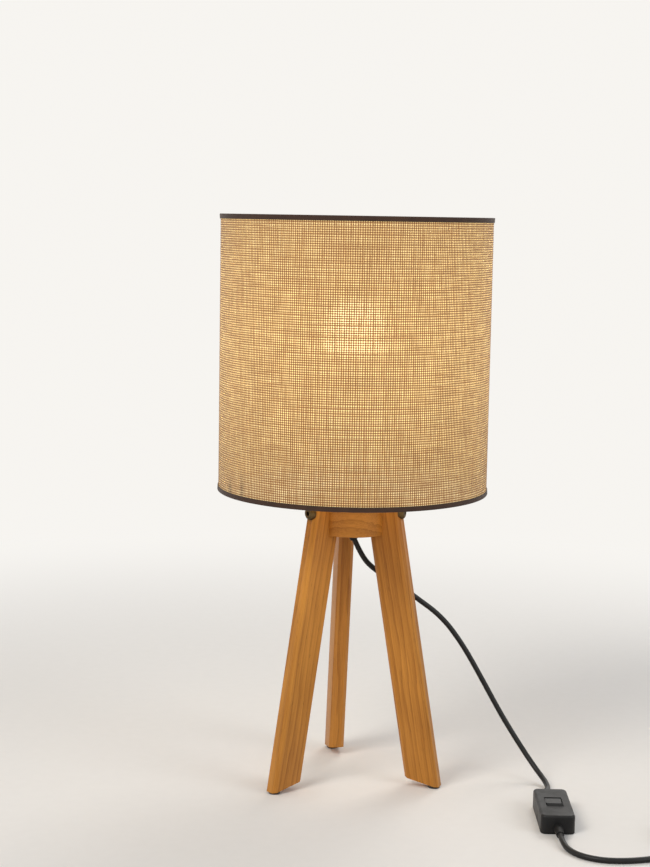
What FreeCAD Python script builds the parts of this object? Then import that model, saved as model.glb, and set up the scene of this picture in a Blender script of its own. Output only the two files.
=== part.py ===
import FreeCAD, Part
import math
import os

# Tripod table lamp, millimetres, +Z up. The origin lies on the surface that the lamp
# stands on, under the lamp's axis. The lamp is seen from -Y, with +X to the right.

V = FreeCAD.Vector
UP = V(0, 0, 1)
OUTWARD = V(1, 0, 0)
BACKWARD = V(0, 1, 0)
ORIGIN = V(0, 0, 0)

# ---- driving dimensions: drum shade ----
SHADE_RADIUS = 125.0          # fabric's outer radius, a 250 mm drum
SHADE_HEIGHT = 254.0
SHADE_DROP = 67.55            # lower rim below the fitter ring
FABRIC_THICKNESS = 0.8
LINER_THICKNESS = 0.5
RIM_WIRE_DIAMETER = 3.0
BINDING_DEPTH = 4.6           # how far the brown edging covers the fabric
BINDING_DEPTH_INSIDE = 3.2
BINDING_THICKNESS = 0.7
SPIDER_ARM_DIAMETER = 2.8     # a little under the rim wire it is welded to
SPIDER_ARMS = 3
SPIDER_FIRST_ARM = 40.0       # degrees
SPIDER_BEND_RADIUS = 6.0
FITTER_RADIUS = 27.0
FITTER_THICKNESS = 1.5
FITTER_PLAY = 0.75            # fitter hole round the lampholder's thread

# ---- driving dimensions: tripod ----
LEGS = {"leg_back": 100.0, "leg_front_left": 220.0, "leg_front_right": 340.0}   # degrees
LEG_SEAT_RADIUS = 14.5        # a leg's inner face at its top, from the axis
LEG_SPLAY = 9.75              # degrees from upright
LEG_WIDTH = 31.7              # square to the leg's length, seen from the side
LEG_THICKNESS = 14.5
LEG_CHAMFER = 3.2
FOOT_MITRE_RISE = 6.6         # the foot's inner corner stands this much higher
PAD_THICKNESS = 1.6           # at the foot's outer corner
PAD_RADIUS = 5.5
PAD_INSET = 6.0
HUB_RADIUS = 33.5
HUB_BOTTOM = 236.0
HUB_HEIGHT = 34.0
HUB_EDGE_ROUND = 1.0
HUB_POCKET_RADIUS = 12.0      # round recess under the hub, for nut and gland
HUB_POCKET_DEPTH = 15.0

# ---- driving dimensions: leg bolts ----
BOLT_RADIUS = 3.0
BOLT_HEAD_RADIUS = 6.0
BOLT_HEAD_HEIGHT = 5.2
BOLT_SOCKET_FLATS = 4.0
BOLT_SOCKET_DEPTH = 2.5
BOLT_END_GAP = 0.8            # from the bolt's end to the insert's inner end
SPOT_FACE_PLAY = 0.4
SPOT_FACE_DEPTH = 0.3         # at its shallowest
INSERT_RADIUS = 4.5
INSERT_LENGTH = 8.4
INSERT_WALL = 2.3             # wood between an insert and the recess below it

# ---- driving dimensions: centre tube and its hardware ----
TUBE_RADIUS = 5.0             # M10 x 1 lamp tube
TUBE_WALL = 1.0
TUBE_BELOW_NUT = 0.5
TUBE_IN_HOLDER = 6.0
NUT_FLATS = 14.0
NUT_HEIGHT = 4.5
WASHER_RADIUS = 10.5
WASHER_THICKNESS = 1.5
SEAT_PLATE_RADIUS = 17.0
RISER_RADIUS = 8.0
RISER_HEIGHT = 49.5
FIT = 0.05                    # clearance of a close fit, on the radius
LOOSE = 0.2                   # clearance of a loose hole, on the radius

# ---- driving dimensions: screw lampholder and its ring ----
HOLDER_CAP_RADIUS = 22.0
HOLDER_CAP_HEIGHT = 22.0
HOLDER_NECK_RADIUS = 14.0
HOLDER_SHOULDER = 10.0        # height of the rounded lower part
HOLDER_WALL = 2.2
HOLDER_BOSS_WALL = 3.0
HOLDER_STEP_DEPTH = 11.0      # from the rim down to the step that carries the inside
HOLDER_STEP_WIDTH = 4.0
HOLDER_FLANGE_RADIUS = 25.0
HOLDER_FLANGE_HEIGHT = 3.0
SKIRT_RADIUS = 19.75          # crest of the skirt's thread
SKIRT_THREAD_DEPTH = 0.55
SKIRT_THREAD_PITCH = 3.0
SKIRT_HEIGHT = 36.0
SKIRT_WALL = 1.9
SKIRT_LIP = 3.0
HOLDER_MOUTH_PLAY = 1.5       # mouth round the bulb's cap
PUCK_HEIGHT = 9.0
CONTACT_REACH = 4.95          # spring tongue, above the puck
CONTACT_RADIUS = 4.5
SHELL_WALL = 0.4
SHELL_HEIGHT = 30.0
SHELL_PLAY = 0.5              # shell round the bulb's cap
TERMINAL_OFFSET = 11.0
TERMINAL_SHANK_RADIUS = 1.5
TERMINAL_DEPTH = 6.0
TERMINAL_HEAD_RADIUS = 2.5
TERMINAL_HEAD_HEIGHT = 2.5
RING_RADIUS = 28.0
RING_GRIP_RADIUS = 25.5
RING_HEIGHT = 8.0
RING_FLANGE = 2.0
RING_NOTCHES = 18
RING_NOTCH_RADIUS = 1.5
RING_PLAY = 0.35
SEAT_PLAY = 0.05              # between seats of pieces that turn on each other

# ---- driving dimensions: bulb ----
GLOBE_RADIUS = 30.0
GLOBE_WALL = 1.0
BULB_TIP_TO_GLOBE = 75.0      # contact tip to the middle of the globe
BULB_CAP_RADIUS = 13.1
BULB_CAP_LENGTH = 20.0
BULB_CAP_WALL = 0.5
BULB_THREAD_DEPTH = 0.8
BULB_THREAD_PITCH = 3.6
BULB_THREADS = 4
BULB_TIP_RADIUS = 4.2
BULB_TIP_HEIGHT = 2.0
BULB_INSULATOR_HEIGHT = 4.0
BULB_NECK_HEIGHT = 56.0       # contact tip to the joint of body and globe
BULB_BODY_WALL = 1.5
LED_PLATE_THICKNESS = 1.6
LED_PLATE_GAP = 0.6

# ---- driving dimensions: cord and gland ----
CORD_RADIUS = 2.5
GLAND_SPIGOT = 8.0
GLAND_FLANGE_RADIUS = 5.5
GLAND_FLANGE_HEIGHT = 2.0
GLAND_TIP_RADIUS = 3.7
GLAND_BEND_RADIUS = 34.0
GLAND_BEND_ANGLE = 24.0       # degrees, towards +X
ARC_SHARE = 0.45              # of the shorter run, from corner to start of arc
CORE_RADIUS = 1.0
CORE_OFFSET = 1.25            # from the cord's axis
RELIEF_LENGTH = 16.0
RELIEF_ROOT_RADIUS = 4.2
RELIEF_TIP_RADIUS = 3.3
RELIEF_NECK_RADIUS = 2.8
RELIEF_FLANGE_RADIUS = 3.4
RELIEF_FLANGE = 2.0

# ---- driving dimensions: switch on the cord ----
SWITCH_CENTRE = V(184.0, -112.0, 0)
SWITCH_WIDTH = 30.0
SWITCH_LENGTH = 72.0
SWITCH_HEIGHT = 17.0
SWITCH_SPLIT = 5.5            # height of the joint and of the cord's axis
SWITCH_WALL = 2.0
SWITCH_CORNER = 5.0
SWITCH_EDGE = 2.2
ROCKER_WIDTH = 14.0
ROCKER_TIP_RADIUS = 11.0      # about the pivot
ROCKER_PIVOT_HEIGHT = 12.5
ROCKER_TILT = 7.0             # degrees each way from level
ROCKER_RISE = 5.2             # its ends above the pivot
ROCKER_VALLEY = 3.4           # its middle above the pivot
ROCKER_SINK = 2.8             # its underside below the pivot
ROCKER_GAP = 0.6
ROCKER_PIN_RADIUS = 1.0
COLLAR_WALL = 1.6
COLLAR_DEPTH = 3.0            # below the pivot
SWITCH_SCREW_SPOTS = [V(9, 29, 0), V(-9, -29, 0)]
SWITCH_SCREW_RADIUS = 1.15
SWITCH_SCREW_LENGTH = 11.0
SWITCH_SCREW_HEAD = 1.5       # radius beyond the shank
SCREW_HEAD_HEIGHT = 1.2
SCREW_SINK = 0.3              # below the base's underside
SWITCH_POST_RADIUS = 3.0
CONTACT_STRIP = V(5.0, 15.0, 0.8)
CONTACT_STRIP_EDGE = -8.0     # its outer side, across the switch
CONTACT_STRIP_START = 2.0     # from the switch's middle
CONTACT_UPRIGHT = 5.6

# ---- driving dimensions: coil and plug ----
COIL_ENTRY = V(307.0, -196.4, 3.75)
COIL_OUTER = 36.4             # centre line of the outermost turn
COIL_GAP = 0.5                # air between neighbouring turns
COIL_TURNS = 6.25
TIE_THICKNESS = 0.8
TIE_WIDTH = 5.0
TIE_SLACK = 0.4
TIE_ANGLE = 150.0             # degrees round the coil
PLUG_WIDTH = 26.0
PLUG_THICKNESS = 13.7
PLUG_BODY_LENGTH = 36.0
PLUG_SHOULDER = 12.0
PLUG_WAIST = 14.3
PLUG_CORNER = 3.0
PLUG_EDGE = 2.0
PLUG_RELIEF_LENGTH = 20.0
PLUG_RELIEF_WALL = 0.8
PIN_SPACING = 18.6
PIN_RADIUS = 2.0
PIN_LENGTH = 19.0
PIN_SLEEVE_LENGTH = 10.0
PIN_SLEEVE_RADIUS = 1.75
PIN_CORE_RADIUS = 1.3
PIN_ROOT = 4.0                # how far a pin is moulded in

# The cord's route. The first point is the gland's tip, the last of each list its end.
CORD_UPPER = [
    V(2.94, 0, 228.67), V(8.63, 0, 215.88), V(18.5, 3.5, 202.0), V(40, 9, 187.8),
    V(62, 13.5, 171.5), V(87.5, 16.5, 152.5), V(107.5, 17.5, 126.5), V(126.5, 17, 94),
    V(145.5, 14.5, 60), V(163.5, 7.5, 32.5), V(178, -4.5, 13.2), V(186.3, -18.5, 5.2),
    V(188.3, -34, 2.7), V(184, -49, 5.5), V(184, -60, 5.5)]
CORD_LOWER = [
    V(184, -164, 5.5), V(184, -176, 5.5), V(187, -189, 2.6), V(196.5, -204, 2.6),
    V(214, -213, 2.6), V(236, -212.5, 2.6), V(257, -206.5, 2.7), V(278, -199.8, 3),
    V(294, -196.4, 3.75), V(307, -196.4, 3.75)]
CORD_TAIL = [
    V(348.4, -155, 9.25), V(348.4, -143, 9.25), V(350.4, -129, 6.85), V(350.4, -117, 6.85)]


# ---- small helpers ----

def save(name, shape):
    """Write one named piece."""
    os.makedirs("parts", exist_ok=True)
    shape.exportStep("parts/" + name + ".step")
    print(name, "solids", len(shape.Solids), "valid", shape.isValid(), "mm3", round(shape.Volume))


def disc(radius, height, base, hole=0.0):
    """An upright cylinder, with a hole through it where one is asked for."""
    solid = Part.makeCylinder(radius, height, V(0, 0, base))
    if hole > 0:
        solid = solid.cut(Part.makeCylinder(hole, height, V(0, 0, base)))
    return solid


def turned(profile, centre=ORIGIN, axis=UP):
    """A turned piece from (radius, height) points."""
    points = [V(radius, 0, height) for radius, height in profile]
    face = Part.Face(Part.makePolygon(points + [points[0]]))
    solid = face.revolve(ORIGIN, UP, 360).Solids[0]
    if (axis - UP).Length > 1e-9:
        solid.rotate(ORIGIN, UP.cross(axis), math.degrees(UP.getAngle(axis)))
    solid.translate(centre)
    return solid


def prism(points, width, middle=0.0):
    """Extrude an outline in the XZ plane along Y, to both sides of its middle."""
    corners = [V(x, middle - width / 2, z) for x, z in points]
    return Part.Face(Part.makePolygon(corners + [corners[0]])).extrude(V(0, width, 0))


def block(size, low):
    return Part.makeBox(size.x, size.y, size.z, low)


def edges_at(shape, height):
    """The edges that lie level at one height."""
    return [edge for edge in shape.Edges if all(abs(v.Z - height) < 1e-6 for v in edge.Vertexes)]


def edges_along(shape, direction):
    """The straight edges that run one way."""
    return [edge for edge in shape.Edges if abs(abs(edge.tangentAt(0).dot(direction)) - 1) < 1e-6]


def turned_to(shape, degrees):
    """A copy of a piece, turned about the lamp's axis."""
    copy = shape.copy()
    copy.rotate(ORIGIN, UP, degrees)
    return copy


def arc_middle(start, corner, end):
    """The middle of the arc that leaves start and meets end, both towards corner."""
    middle = (start + end) * 0.5
    rise = corner - middle
    half_chord = (end - start).Length / 2
    base_angle = math.atan2(rise.Length, half_chord)
    return middle + rise * (half_chord * math.tan(base_angle / 2) / rise.Length)


def pipe(edges, start, direction, radius):
    """Sweep a round section along edges that join smoothly."""
    section = Part.Wire(Part.makeCircle(radius, start, direction))
    sweep = Part.BRepOffsetAPI.MakePipeShell(Part.Wire(edges))
    sweep.add(section)
    sweep.build()
    sweep.makeSolid()
    return Part.Solid(sweep.shape())


def tube_along(route, radius, name):
    """A tube on straight runs joined by arcs as large as the two runs allow."""
    edges = []
    here = route[0]
    radii = []
    for before, corner, after in zip(route, route[1:], route[2:]):
        into = corner - before
        out = after - corner
        tangent = ARC_SHARE * min(into.Length, out.Length)
        arc_start = corner - into.normalize() * tangent
        arc_end = corner + out.normalize() * tangent
        edges.append(Part.LineSegment(here, arc_start).toShape())
        middle = arc_middle(arc_start, corner, arc_end)
        edges.append(Part.Arc(arc_start, middle, arc_end).toShape())
        radii.append(edges[-1].Curve.Radius)
        here = arc_end
    edges.append(Part.LineSegment(here, route[-1]).toShape())
    solid = pipe(edges, route[0], route[1] - route[0], radius)
    length = sum(edge.Length for edge in edges)
    share = solid.Volume / (math.pi * radius ** 2 * length)
    print(name, "length", round(length, 1), "volume share", round(share, 4),
          "radii", [round(value) for value in radii])
    return solid, length


# ---- tripod ----

SLOPE = math.tan(math.radians(LEG_SPLAY))
LEG_ACROSS = LEG_WIDTH / math.cos(math.radians(LEG_SPLAY))
HUB_TOP = HUB_BOTTOM + HUB_HEIGHT
POCKET_TOP = HUB_BOTTOM + HUB_POCKET_DEPTH
TUBE_HOLE = TUBE_RADIUS + LOOSE
BOLT_HEIGHT = POCKET_TOP + INSERT_WALL + INSERT_RADIUS
SPOT_FACE_RADIUS = BOLT_HEAD_RADIUS + SPOT_FACE_PLAY


def leg_inner(height):
    """Distance of the leg's inner face from the lamp's axis."""
    return LEG_SEAT_RADIUS + (HUB_TOP - height) * SLOPE


def leg_outer(height):
    return leg_inner(height) + LEG_ACROSS


SPOT_FACE = leg_outer(BOLT_HEIGHT + SPOT_FACE_RADIUS) - SPOT_FACE_DEPTH
INSERT_OUTER = leg_inner(BOLT_HEIGHT + INSERT_RADIUS) - LOOSE
INSERT_INNER = INSERT_OUTER - INSERT_LENGTH
FOOT_INNER_HEIGHT = PAD_THICKNESS + FOOT_MITRE_RISE
FOOT_OUTER = leg_outer(PAD_THICKNESS)
FOOT_INNER = leg_inner(FOOT_INNER_HEIGHT)


def along_bolt(radius, inner, outer):
    """A cylinder on the leg bolt's axis, between two distances from the lamp's axis."""
    return Part.makeCylinder(radius, outer - inner, V(inner, 0, BOLT_HEIGHT), OUTWARD)


def make_leg():
    """A straight board with four chamfered arrises and a mitred foot."""
    outline = [(FOOT_OUTER, PAD_THICKNESS), (leg_outer(HUB_TOP), HUB_TOP),
               (leg_inner(HUB_TOP), HUB_TOP), (FOOT_INNER, FOOT_INNER_HEIGHT)]
    board = prism(outline, LEG_THICKNESS)
    grain = V(-math.sin(math.radians(LEG_SPLAY)), 0, math.cos(math.radians(LEG_SPLAY)))
    board = board.makeChamfer(LEG_CHAMFER, edges_along(board, grain))
    board = board.cut(along_bolt(SPOT_FACE_RADIUS, SPOT_FACE, FOOT_OUTER))
    return board.cut(along_bolt(BOLT_RADIUS + LOOSE, 0, FOOT_OUTER))


def mitre_height(radius):
    """Height of the foot's slanted end above the table."""
    return PAD_THICKNESS + FOOT_MITRE_RISE * (FOOT_OUTER - radius) / (FOOT_OUTER - FOOT_INNER)


def make_foot_pad():
    """A felt pad, pressed to a wedge between the mitred foot and the table."""
    centre = FOOT_OUTER - PAD_INSET
    inner = centre - PAD_RADIUS
    outer = centre + PAD_RADIUS
    wedge = prism([(inner, 0), (outer, 0), (outer, mitre_height(outer)), (inner, mitre_height(inner))],
                  2 * PAD_RADIUS)
    return wedge.common(Part.makeCylinder(PAD_RADIUS, mitre_height(inner), V(centre, 0, 0)))


def make_leg_slot():
    """The slot in the hub that a leg's inner edge is let into."""
    low = HUB_BOTTOM - HUB_HEIGHT
    high = HUB_TOP + HUB_HEIGHT
    outline = [(leg_inner(low), low), (leg_outer(low) + HUB_RADIUS, low),
               (leg_outer(low) + HUB_RADIUS, high), (leg_inner(high), high)]
    return prism(outline, LEG_THICKNESS)


def make_hub():
    """A turned wooden disc with three slots, a centre bore and a recess below."""
    hub = disc(HUB_RADIUS, HUB_HEIGHT, HUB_BOTTOM)
    rims = [edge for edge in hub.Edges if abs(edge.Length - 2 * math.pi * HUB_RADIUS) < 0.01]
    hub = hub.makeFillet(HUB_EDGE_ROUND, rims)
    hub = hub.cut(disc(HUB_POCKET_RADIUS, HUB_POCKET_DEPTH, HUB_BOTTOM))
    hub = hub.cut(disc(TUBE_HOLE, HUB_HEIGHT, HUB_BOTTOM))
    insert_hole = along_bolt(INSERT_RADIUS + FIT, INSERT_INNER, HUB_RADIUS)
    for azimuth in LEGS.values():
        hub = hub.cut(turned_to(make_leg_slot(), azimuth))
        hub = hub.cut(turned_to(insert_hole, azimuth))
    return hub


def hexagon(flats, height, base):
    """An upright hexagonal prism."""
    corner = flats / math.sqrt(3)
    points = [V(corner * math.cos(math.radians(60 * k)), corner * math.sin(math.radians(60 * k)), base)
              for k in range(6)]
    return Part.Face(Part.makePolygon(points + [points[0]])).extrude(V(0, 0, height))


def make_leg_bolt():
    """A domed furniture bolt with a hexagon socket."""
    head = disc(BOLT_HEAD_RADIUS, BOLT_HEAD_HEIGHT, 0)
    rims = edges_at(head, BOLT_HEAD_HEIGHT)
    head = head.makeFillet(BOLT_HEAD_HEIGHT * 0.5, rims)
    socket_floor = BOLT_HEAD_HEIGHT - BOLT_SOCKET_DEPTH
    head = head.cut(hexagon(BOLT_SOCKET_FLATS, BOLT_HEAD_HEIGHT, socket_floor))
    head.rotate(ORIGIN, V(0, 1, 0), 90)
    head.translate(V(SPOT_FACE, 0, BOLT_HEIGHT))
    shank = along_bolt(BOLT_RADIUS, INSERT_INNER + BOLT_END_GAP, SPOT_FACE)
    return head.fuse(shank).removeSplitter()


def make_leg_insert():
    """A threaded brass insert, pressed into the hub."""
    sleeve = along_bolt(INSERT_RADIUS, INSERT_INNER, INSERT_OUTER)
    return sleeve.cut(along_bolt(BOLT_RADIUS + FIT, INSERT_INNER, INSERT_OUTER))


for leg_name, leg_azimuth in LEGS.items():
    save(leg_name, turned_to(make_leg(), leg_azimuth))
save("hub", make_hub())
for group_name, member in (("foot_pads", make_foot_pad()), ("leg_bolts", make_leg_bolt()),
                           ("leg_inserts", make_leg_insert())):
    save(group_name, Part.Compound([turned_to(member, azimuth) for azimuth in LEGS.values()]))


# ---- centre tube, nut, washer, riser ----

WASHER_BASE = POCKET_TOP - WASHER_THICKNESS
NUT_BASE = WASHER_BASE - NUT_HEIGHT
TUBE_BOTTOM = NUT_BASE - TUBE_BELOW_NUT
RISER_BASE = HUB_TOP + WASHER_THICKNESS
HOLDER_BASE = RISER_BASE + RISER_HEIGHT
TUBE_TOP = HOLDER_BASE + TUBE_IN_HOLDER
TUBE_BORE = TUBE_RADIUS - TUBE_WALL

save("threaded_tube", disc(TUBE_RADIUS, TUBE_TOP - TUBE_BOTTOM, TUBE_BOTTOM, TUBE_BORE))
save("tube_nut", hexagon(NUT_FLATS, NUT_HEIGHT, NUT_BASE).cut(
    disc(TUBE_RADIUS + FIT, NUT_HEIGHT, NUT_BASE)))
save("tube_washer", disc(WASHER_RADIUS, WASHER_THICKNESS, WASHER_BASE, TUBE_HOLE))
save("seat_plate", disc(SEAT_PLATE_RADIUS, WASHER_THICKNESS, HUB_TOP, TUBE_HOLE))
save("riser_tube", disc(RISER_RADIUS, RISER_HEIGHT, RISER_BASE, TUBE_HOLE))


# ---- lampholder ----

CAP_TOP = HOLDER_BASE + HOLDER_CAP_HEIGHT
STEP = CAP_TOP - HOLDER_STEP_DEPTH
SKIRT_TAIL = HOLDER_CAP_RADIUS - HOLDER_WALL - FIT
SKIRT_BORE = SKIRT_TAIL - SKIRT_WALL
STEP_BORE = SKIRT_TAIL - HOLDER_STEP_WIDTH
PUCK_BASE = STEP + SEAT_PLAY
PUCK_TOP = PUCK_BASE + PUCK_HEIGHT


def make_holder_cap():
    """The moulded lower cap, screwed to the lamp tube."""
    thread = TUBE_RADIUS + FIT
    boss = thread + HOLDER_BOSS_WALL
    flange_base = CAP_TOP - HOLDER_FLANGE_HEIGHT
    floor = HOLDER_BASE + HOLDER_WALL
    shoulder = HOLDER_BASE + HOLDER_SHOULDER
    outside = [(thread, HOLDER_BASE), (HOLDER_NECK_RADIUS, HOLDER_BASE),
               (HOLDER_CAP_RADIUS - 0.2 * HOLDER_SHOULDER, HOLDER_BASE + HOLDER_SHOULDER / 2),
               (HOLDER_CAP_RADIUS, shoulder), (HOLDER_CAP_RADIUS, flange_base),
               (HOLDER_FLANGE_RADIUS, flange_base), (HOLDER_FLANGE_RADIUS, CAP_TOP)]
    inside = [(SKIRT_TAIL + FIT, CAP_TOP), (SKIRT_TAIL + FIT, STEP), (STEP_BORE, STEP),
              (STEP_BORE, shoulder - HOLDER_WALL), (HOLDER_NECK_RADIUS - HOLDER_WALL, floor),
              (boss, floor), (boss, TUBE_TOP), (thread, TUBE_TOP)]
    return turned(outside + inside)


def make_holder_skirt():
    """The threaded skirt that guides the bulb and carries the shade's ring."""
    root = SKIRT_RADIUS - SKIRT_THREAD_DEPTH
    mouth = BULB_CAP_RADIUS + HOLDER_MOUTH_PLAY
    top = CAP_TOP + SKIRT_HEIGHT
    count = int((SKIRT_HEIGHT - SKIRT_LIP) / SKIRT_THREAD_PITCH)
    profile = [(SKIRT_TAIL, STEP), (SKIRT_TAIL, CAP_TOP), (root, CAP_TOP)]
    for turn in range(count):
        foot = CAP_TOP + (turn + 0.2) * SKIRT_THREAD_PITCH
        profile += [(root, foot), (SKIRT_RADIUS, foot + SKIRT_THREAD_PITCH * 0.27),
                    (SKIRT_RADIUS, foot + SKIRT_THREAD_PITCH * 0.5), (root, foot + SKIRT_THREAD_PITCH * 0.77)]
    profile += [(root, top), (mouth, top), (mouth, top - SKIRT_LIP), (SKIRT_BORE, top - SKIRT_LIP),
                (SKIRT_BORE, CAP_TOP), (STEP_BORE, CAP_TOP), (STEP_BORE, PUCK_TOP + SEAT_PLAY),
                (SKIRT_BORE, PUCK_TOP + SEAT_PLAY), (SKIRT_BORE, STEP)]
    return turned(profile)


def make_puck():
    """The insulating disc that carries the contacts."""
    puck = disc(SKIRT_BORE - FIT, PUCK_HEIGHT, PUCK_BASE)
    for side in (-1, 1):
        foot = V(side * TERMINAL_OFFSET, 0, PUCK_BASE)
        puck = puck.cut(Part.makeCylinder(TERMINAL_SHANK_RADIUS + FIT, TERMINAL_DEPTH, foot))
    return puck


def make_terminal_screws():
    screws = []
    for side in (-1, 1):
        foot = V(side * TERMINAL_OFFSET, 0, PUCK_BASE)
        head_base = foot - V(0, 0, TERMINAL_HEAD_HEIGHT)
        head = Part.makeCylinder(TERMINAL_HEAD_RADIUS, TERMINAL_HEAD_HEIGHT, head_base)
        screws.append(head.fuse(Part.makeCylinder(TERMINAL_SHANK_RADIUS, TERMINAL_DEPTH, foot)))
    return Part.Compound(screws)


SHELL_BORE = BULB_CAP_RADIUS + SHELL_PLAY
save("holder_cap", make_holder_cap())
save("holder_skirt", make_holder_skirt())
save("contact_puck", make_puck())
save("terminal_screws", make_terminal_screws())
save("screw_shell", disc(SHELL_BORE + SHELL_WALL, SHELL_HEIGHT, PUCK_TOP, SHELL_BORE))
save("centre_contact", turned([(0, PUCK_TOP), (CONTACT_RADIUS, PUCK_TOP),
                               (CONTACT_RADIUS * 0.7, PUCK_TOP + CONTACT_REACH),
                               (0, PUCK_TOP + CONTACT_REACH)]))


# ---- bulb ----

BULB_TIP = PUCK_TOP + CONTACT_REACH + SEAT_PLAY
TIP_TOP = BULB_TIP + BULB_TIP_HEIGHT
CAP_FOOT = TIP_TOP + BULB_INSULATOR_HEIGHT
CAP_END = CAP_FOOT + BULB_CAP_LENGTH
CAP_ROOT = BULB_CAP_RADIUS - BULB_THREAD_DEPTH
CAP_BORE = CAP_ROOT - BULB_CAP_WALL
GLOBE_CENTRE = BULB_TIP + BULB_TIP_TO_GLOBE
BULB_JOINT = BULB_TIP + BULB_NECK_HEIGHT
JOINT_RADIUS = math.sqrt(GLOBE_RADIUS ** 2 - (GLOBE_CENTRE - BULB_JOINT) ** 2)


def make_bulb_cap():
    """The thin metal screw cap, with a sloping foot."""
    slope = 1.5
    pitch = BULB_THREAD_PITCH
    outside = [(CAP_ROOT - slope, CAP_FOOT), (CAP_ROOT, CAP_FOOT + slope)]
    for turn in range(BULB_THREADS):
        foot = CAP_FOOT + slope + (turn + 0.15) * pitch
        outside += [(CAP_ROOT, foot), (BULB_CAP_RADIUS, foot + pitch * 0.33),
                    (BULB_CAP_RADIUS, foot + pitch * 0.5), (CAP_ROOT, foot + pitch * 0.83)]
    outside += [(CAP_ROOT, CAP_END)]
    return turned(outside + [(CAP_BORE, CAP_END), (CAP_BORE, CAP_FOOT + slope), (CAP_BORE - slope, CAP_FOOT)])


def make_bulb_body():
    """The plastic lower body, flaring from the cap to the globe."""
    low = V(CAP_ROOT, 0, CAP_END)
    high = V(JOINT_RADIUS, 0, BULB_JOINT)
    middle = V(CAP_ROOT + (JOINT_RADIUS - CAP_ROOT) * 0.3, 0, CAP_END + (BULB_JOINT - CAP_END) * 0.52)
    wall = V(BULB_BODY_WALL, 0, 0)
    edges = [Part.Arc(low, middle, high).toShape(), Part.makeLine(high, high - wall),
             Part.Arc(high - wall, middle - wall, low - wall).toShape(), Part.makeLine(low - wall, low)]
    return Part.Face(Part.Wire(edges)).revolve(ORIGIN, UP, 360).Solids[0]


def make_globe():
    """The frosted globe, a thin ball cut off at the joint."""
    ball = Part.makeSphere(GLOBE_RADIUS, V(0, 0, GLOBE_CENTRE))
    ball = ball.cut(Part.makeSphere(GLOBE_RADIUS - GLOBE_WALL, V(0, 0, GLOBE_CENTRE)))
    return ball.cut(disc(2 * GLOBE_RADIUS, 2 * GLOBE_RADIUS, BULB_JOINT - 2 * GLOBE_RADIUS))


BULB_SHOULDER = CAP_BORE - BULB_INSULATOR_HEIGHT / 2
save("bulb_globe", make_globe())
save("bulb_body", make_bulb_body())
save("bulb_cap", make_bulb_cap())
save("bulb_insulator", turned([(0, TIP_TOP), (BULB_TIP_RADIUS, TIP_TOP), (BULB_SHOULDER, CAP_FOOT),
                               (0, CAP_FOOT)]))
save("bulb_tip", turned([(0, BULB_TIP), (BULB_TIP_RADIUS / 2, BULB_TIP), (BULB_TIP_RADIUS, TIP_TOP - 1),
                         (BULB_TIP_RADIUS, TIP_TOP), (0, TIP_TOP)]))
save("led_plate", disc(JOINT_RADIUS - GLOBE_WALL - LED_PLATE_GAP, LED_PLATE_THICKNESS, BULB_JOINT))


# ---- shade ----

FITTER_BASE = CAP_TOP + SEAT_PLAY
FITTER_TOP = FITTER_BASE + FITTER_THICKNESS
SHADE_BOTTOM = FITTER_BASE - SHADE_DROP
SHADE_TOP = SHADE_BOTTOM + SHADE_HEIGHT
FABRIC_LOW = SHADE_BOTTOM + BINDING_THICKNESS
FABRIC_HIGH = SHADE_TOP - BINDING_THICKNESS
LINER_OUTER = SHADE_RADIUS - FABRIC_THICKNESS
LINER_INNER = LINER_OUTER - LINER_THICKNESS
WIRE_RADIUS = RIM_WIRE_DIAMETER / 2
WIRE_PATH = LINER_INNER - FIT - WIRE_RADIUS
WIRE_LOW = FABRIC_LOW + FIT + WIRE_RADIUS
WIRE_HIGH = FABRIC_HIGH - FIT - WIRE_RADIUS
FITTER_HOLE = SKIRT_RADIUS + FITTER_PLAY


def make_binding(edge, inward):
    """Brown tape folded over a rim: outer leg, edge and a shorter inner leg."""
    outer = SHADE_RADIUS + FIT + BINDING_THICKNESS
    inner = WIRE_PATH - WIRE_RADIUS - FIT - BINDING_THICKNESS
    fold = edge + inward * BINDING_THICKNESS
    leg = edge + inward * BINDING_DEPTH
    inner_leg = edge + inward * BINDING_DEPTH_INSIDE
    return turned([(outer, edge), (outer, leg), (outer - BINDING_THICKNESS, leg),
                   (outer - BINDING_THICKNESS, fold), (inner + BINDING_THICKNESS, fold),
                   (inner + BINDING_THICKNESS, inner_leg), (inner, inner_leg), (inner, edge)])


def make_spider():
    """Bottom wire, three bent arms and the fitter ring, welded into one piece."""
    arm_radius = SPIDER_ARM_DIAMETER / 2
    height = FITTER_TOP - LOOSE - arm_radius
    start = V(FITTER_RADIUS - FITTER_THICKNESS, 0, height)
    knee_in = V(WIRE_PATH - SPIDER_BEND_RADIUS, 0, height)
    knee_out = V(WIRE_PATH, 0, height - SPIDER_BEND_RADIUS)
    foot = V(WIRE_PATH, 0, WIRE_LOW)
    knee = arc_middle(knee_in, V(WIRE_PATH, 0, height), knee_out)
    edges = [Part.LineSegment(start, knee_in).toShape(), Part.Arc(knee_in, knee, knee_out).toShape(),
             Part.LineSegment(knee_out, foot).toShape()]
    arm = pipe(edges, start, OUTWARD, arm_radius)
    spider = Part.makeTorus(WIRE_PATH, WIRE_RADIUS, V(0, 0, WIRE_LOW))
    for k in range(SPIDER_ARMS):
        spider = spider.fuse(turned_to(arm, SPIDER_FIRST_ARM + 360 / SPIDER_ARMS * k))
    spider = spider.fuse(disc(FITTER_RADIUS, FITTER_THICKNESS, FITTER_BASE, FITTER_HOLE))
    return spider.removeSplitter()


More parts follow.
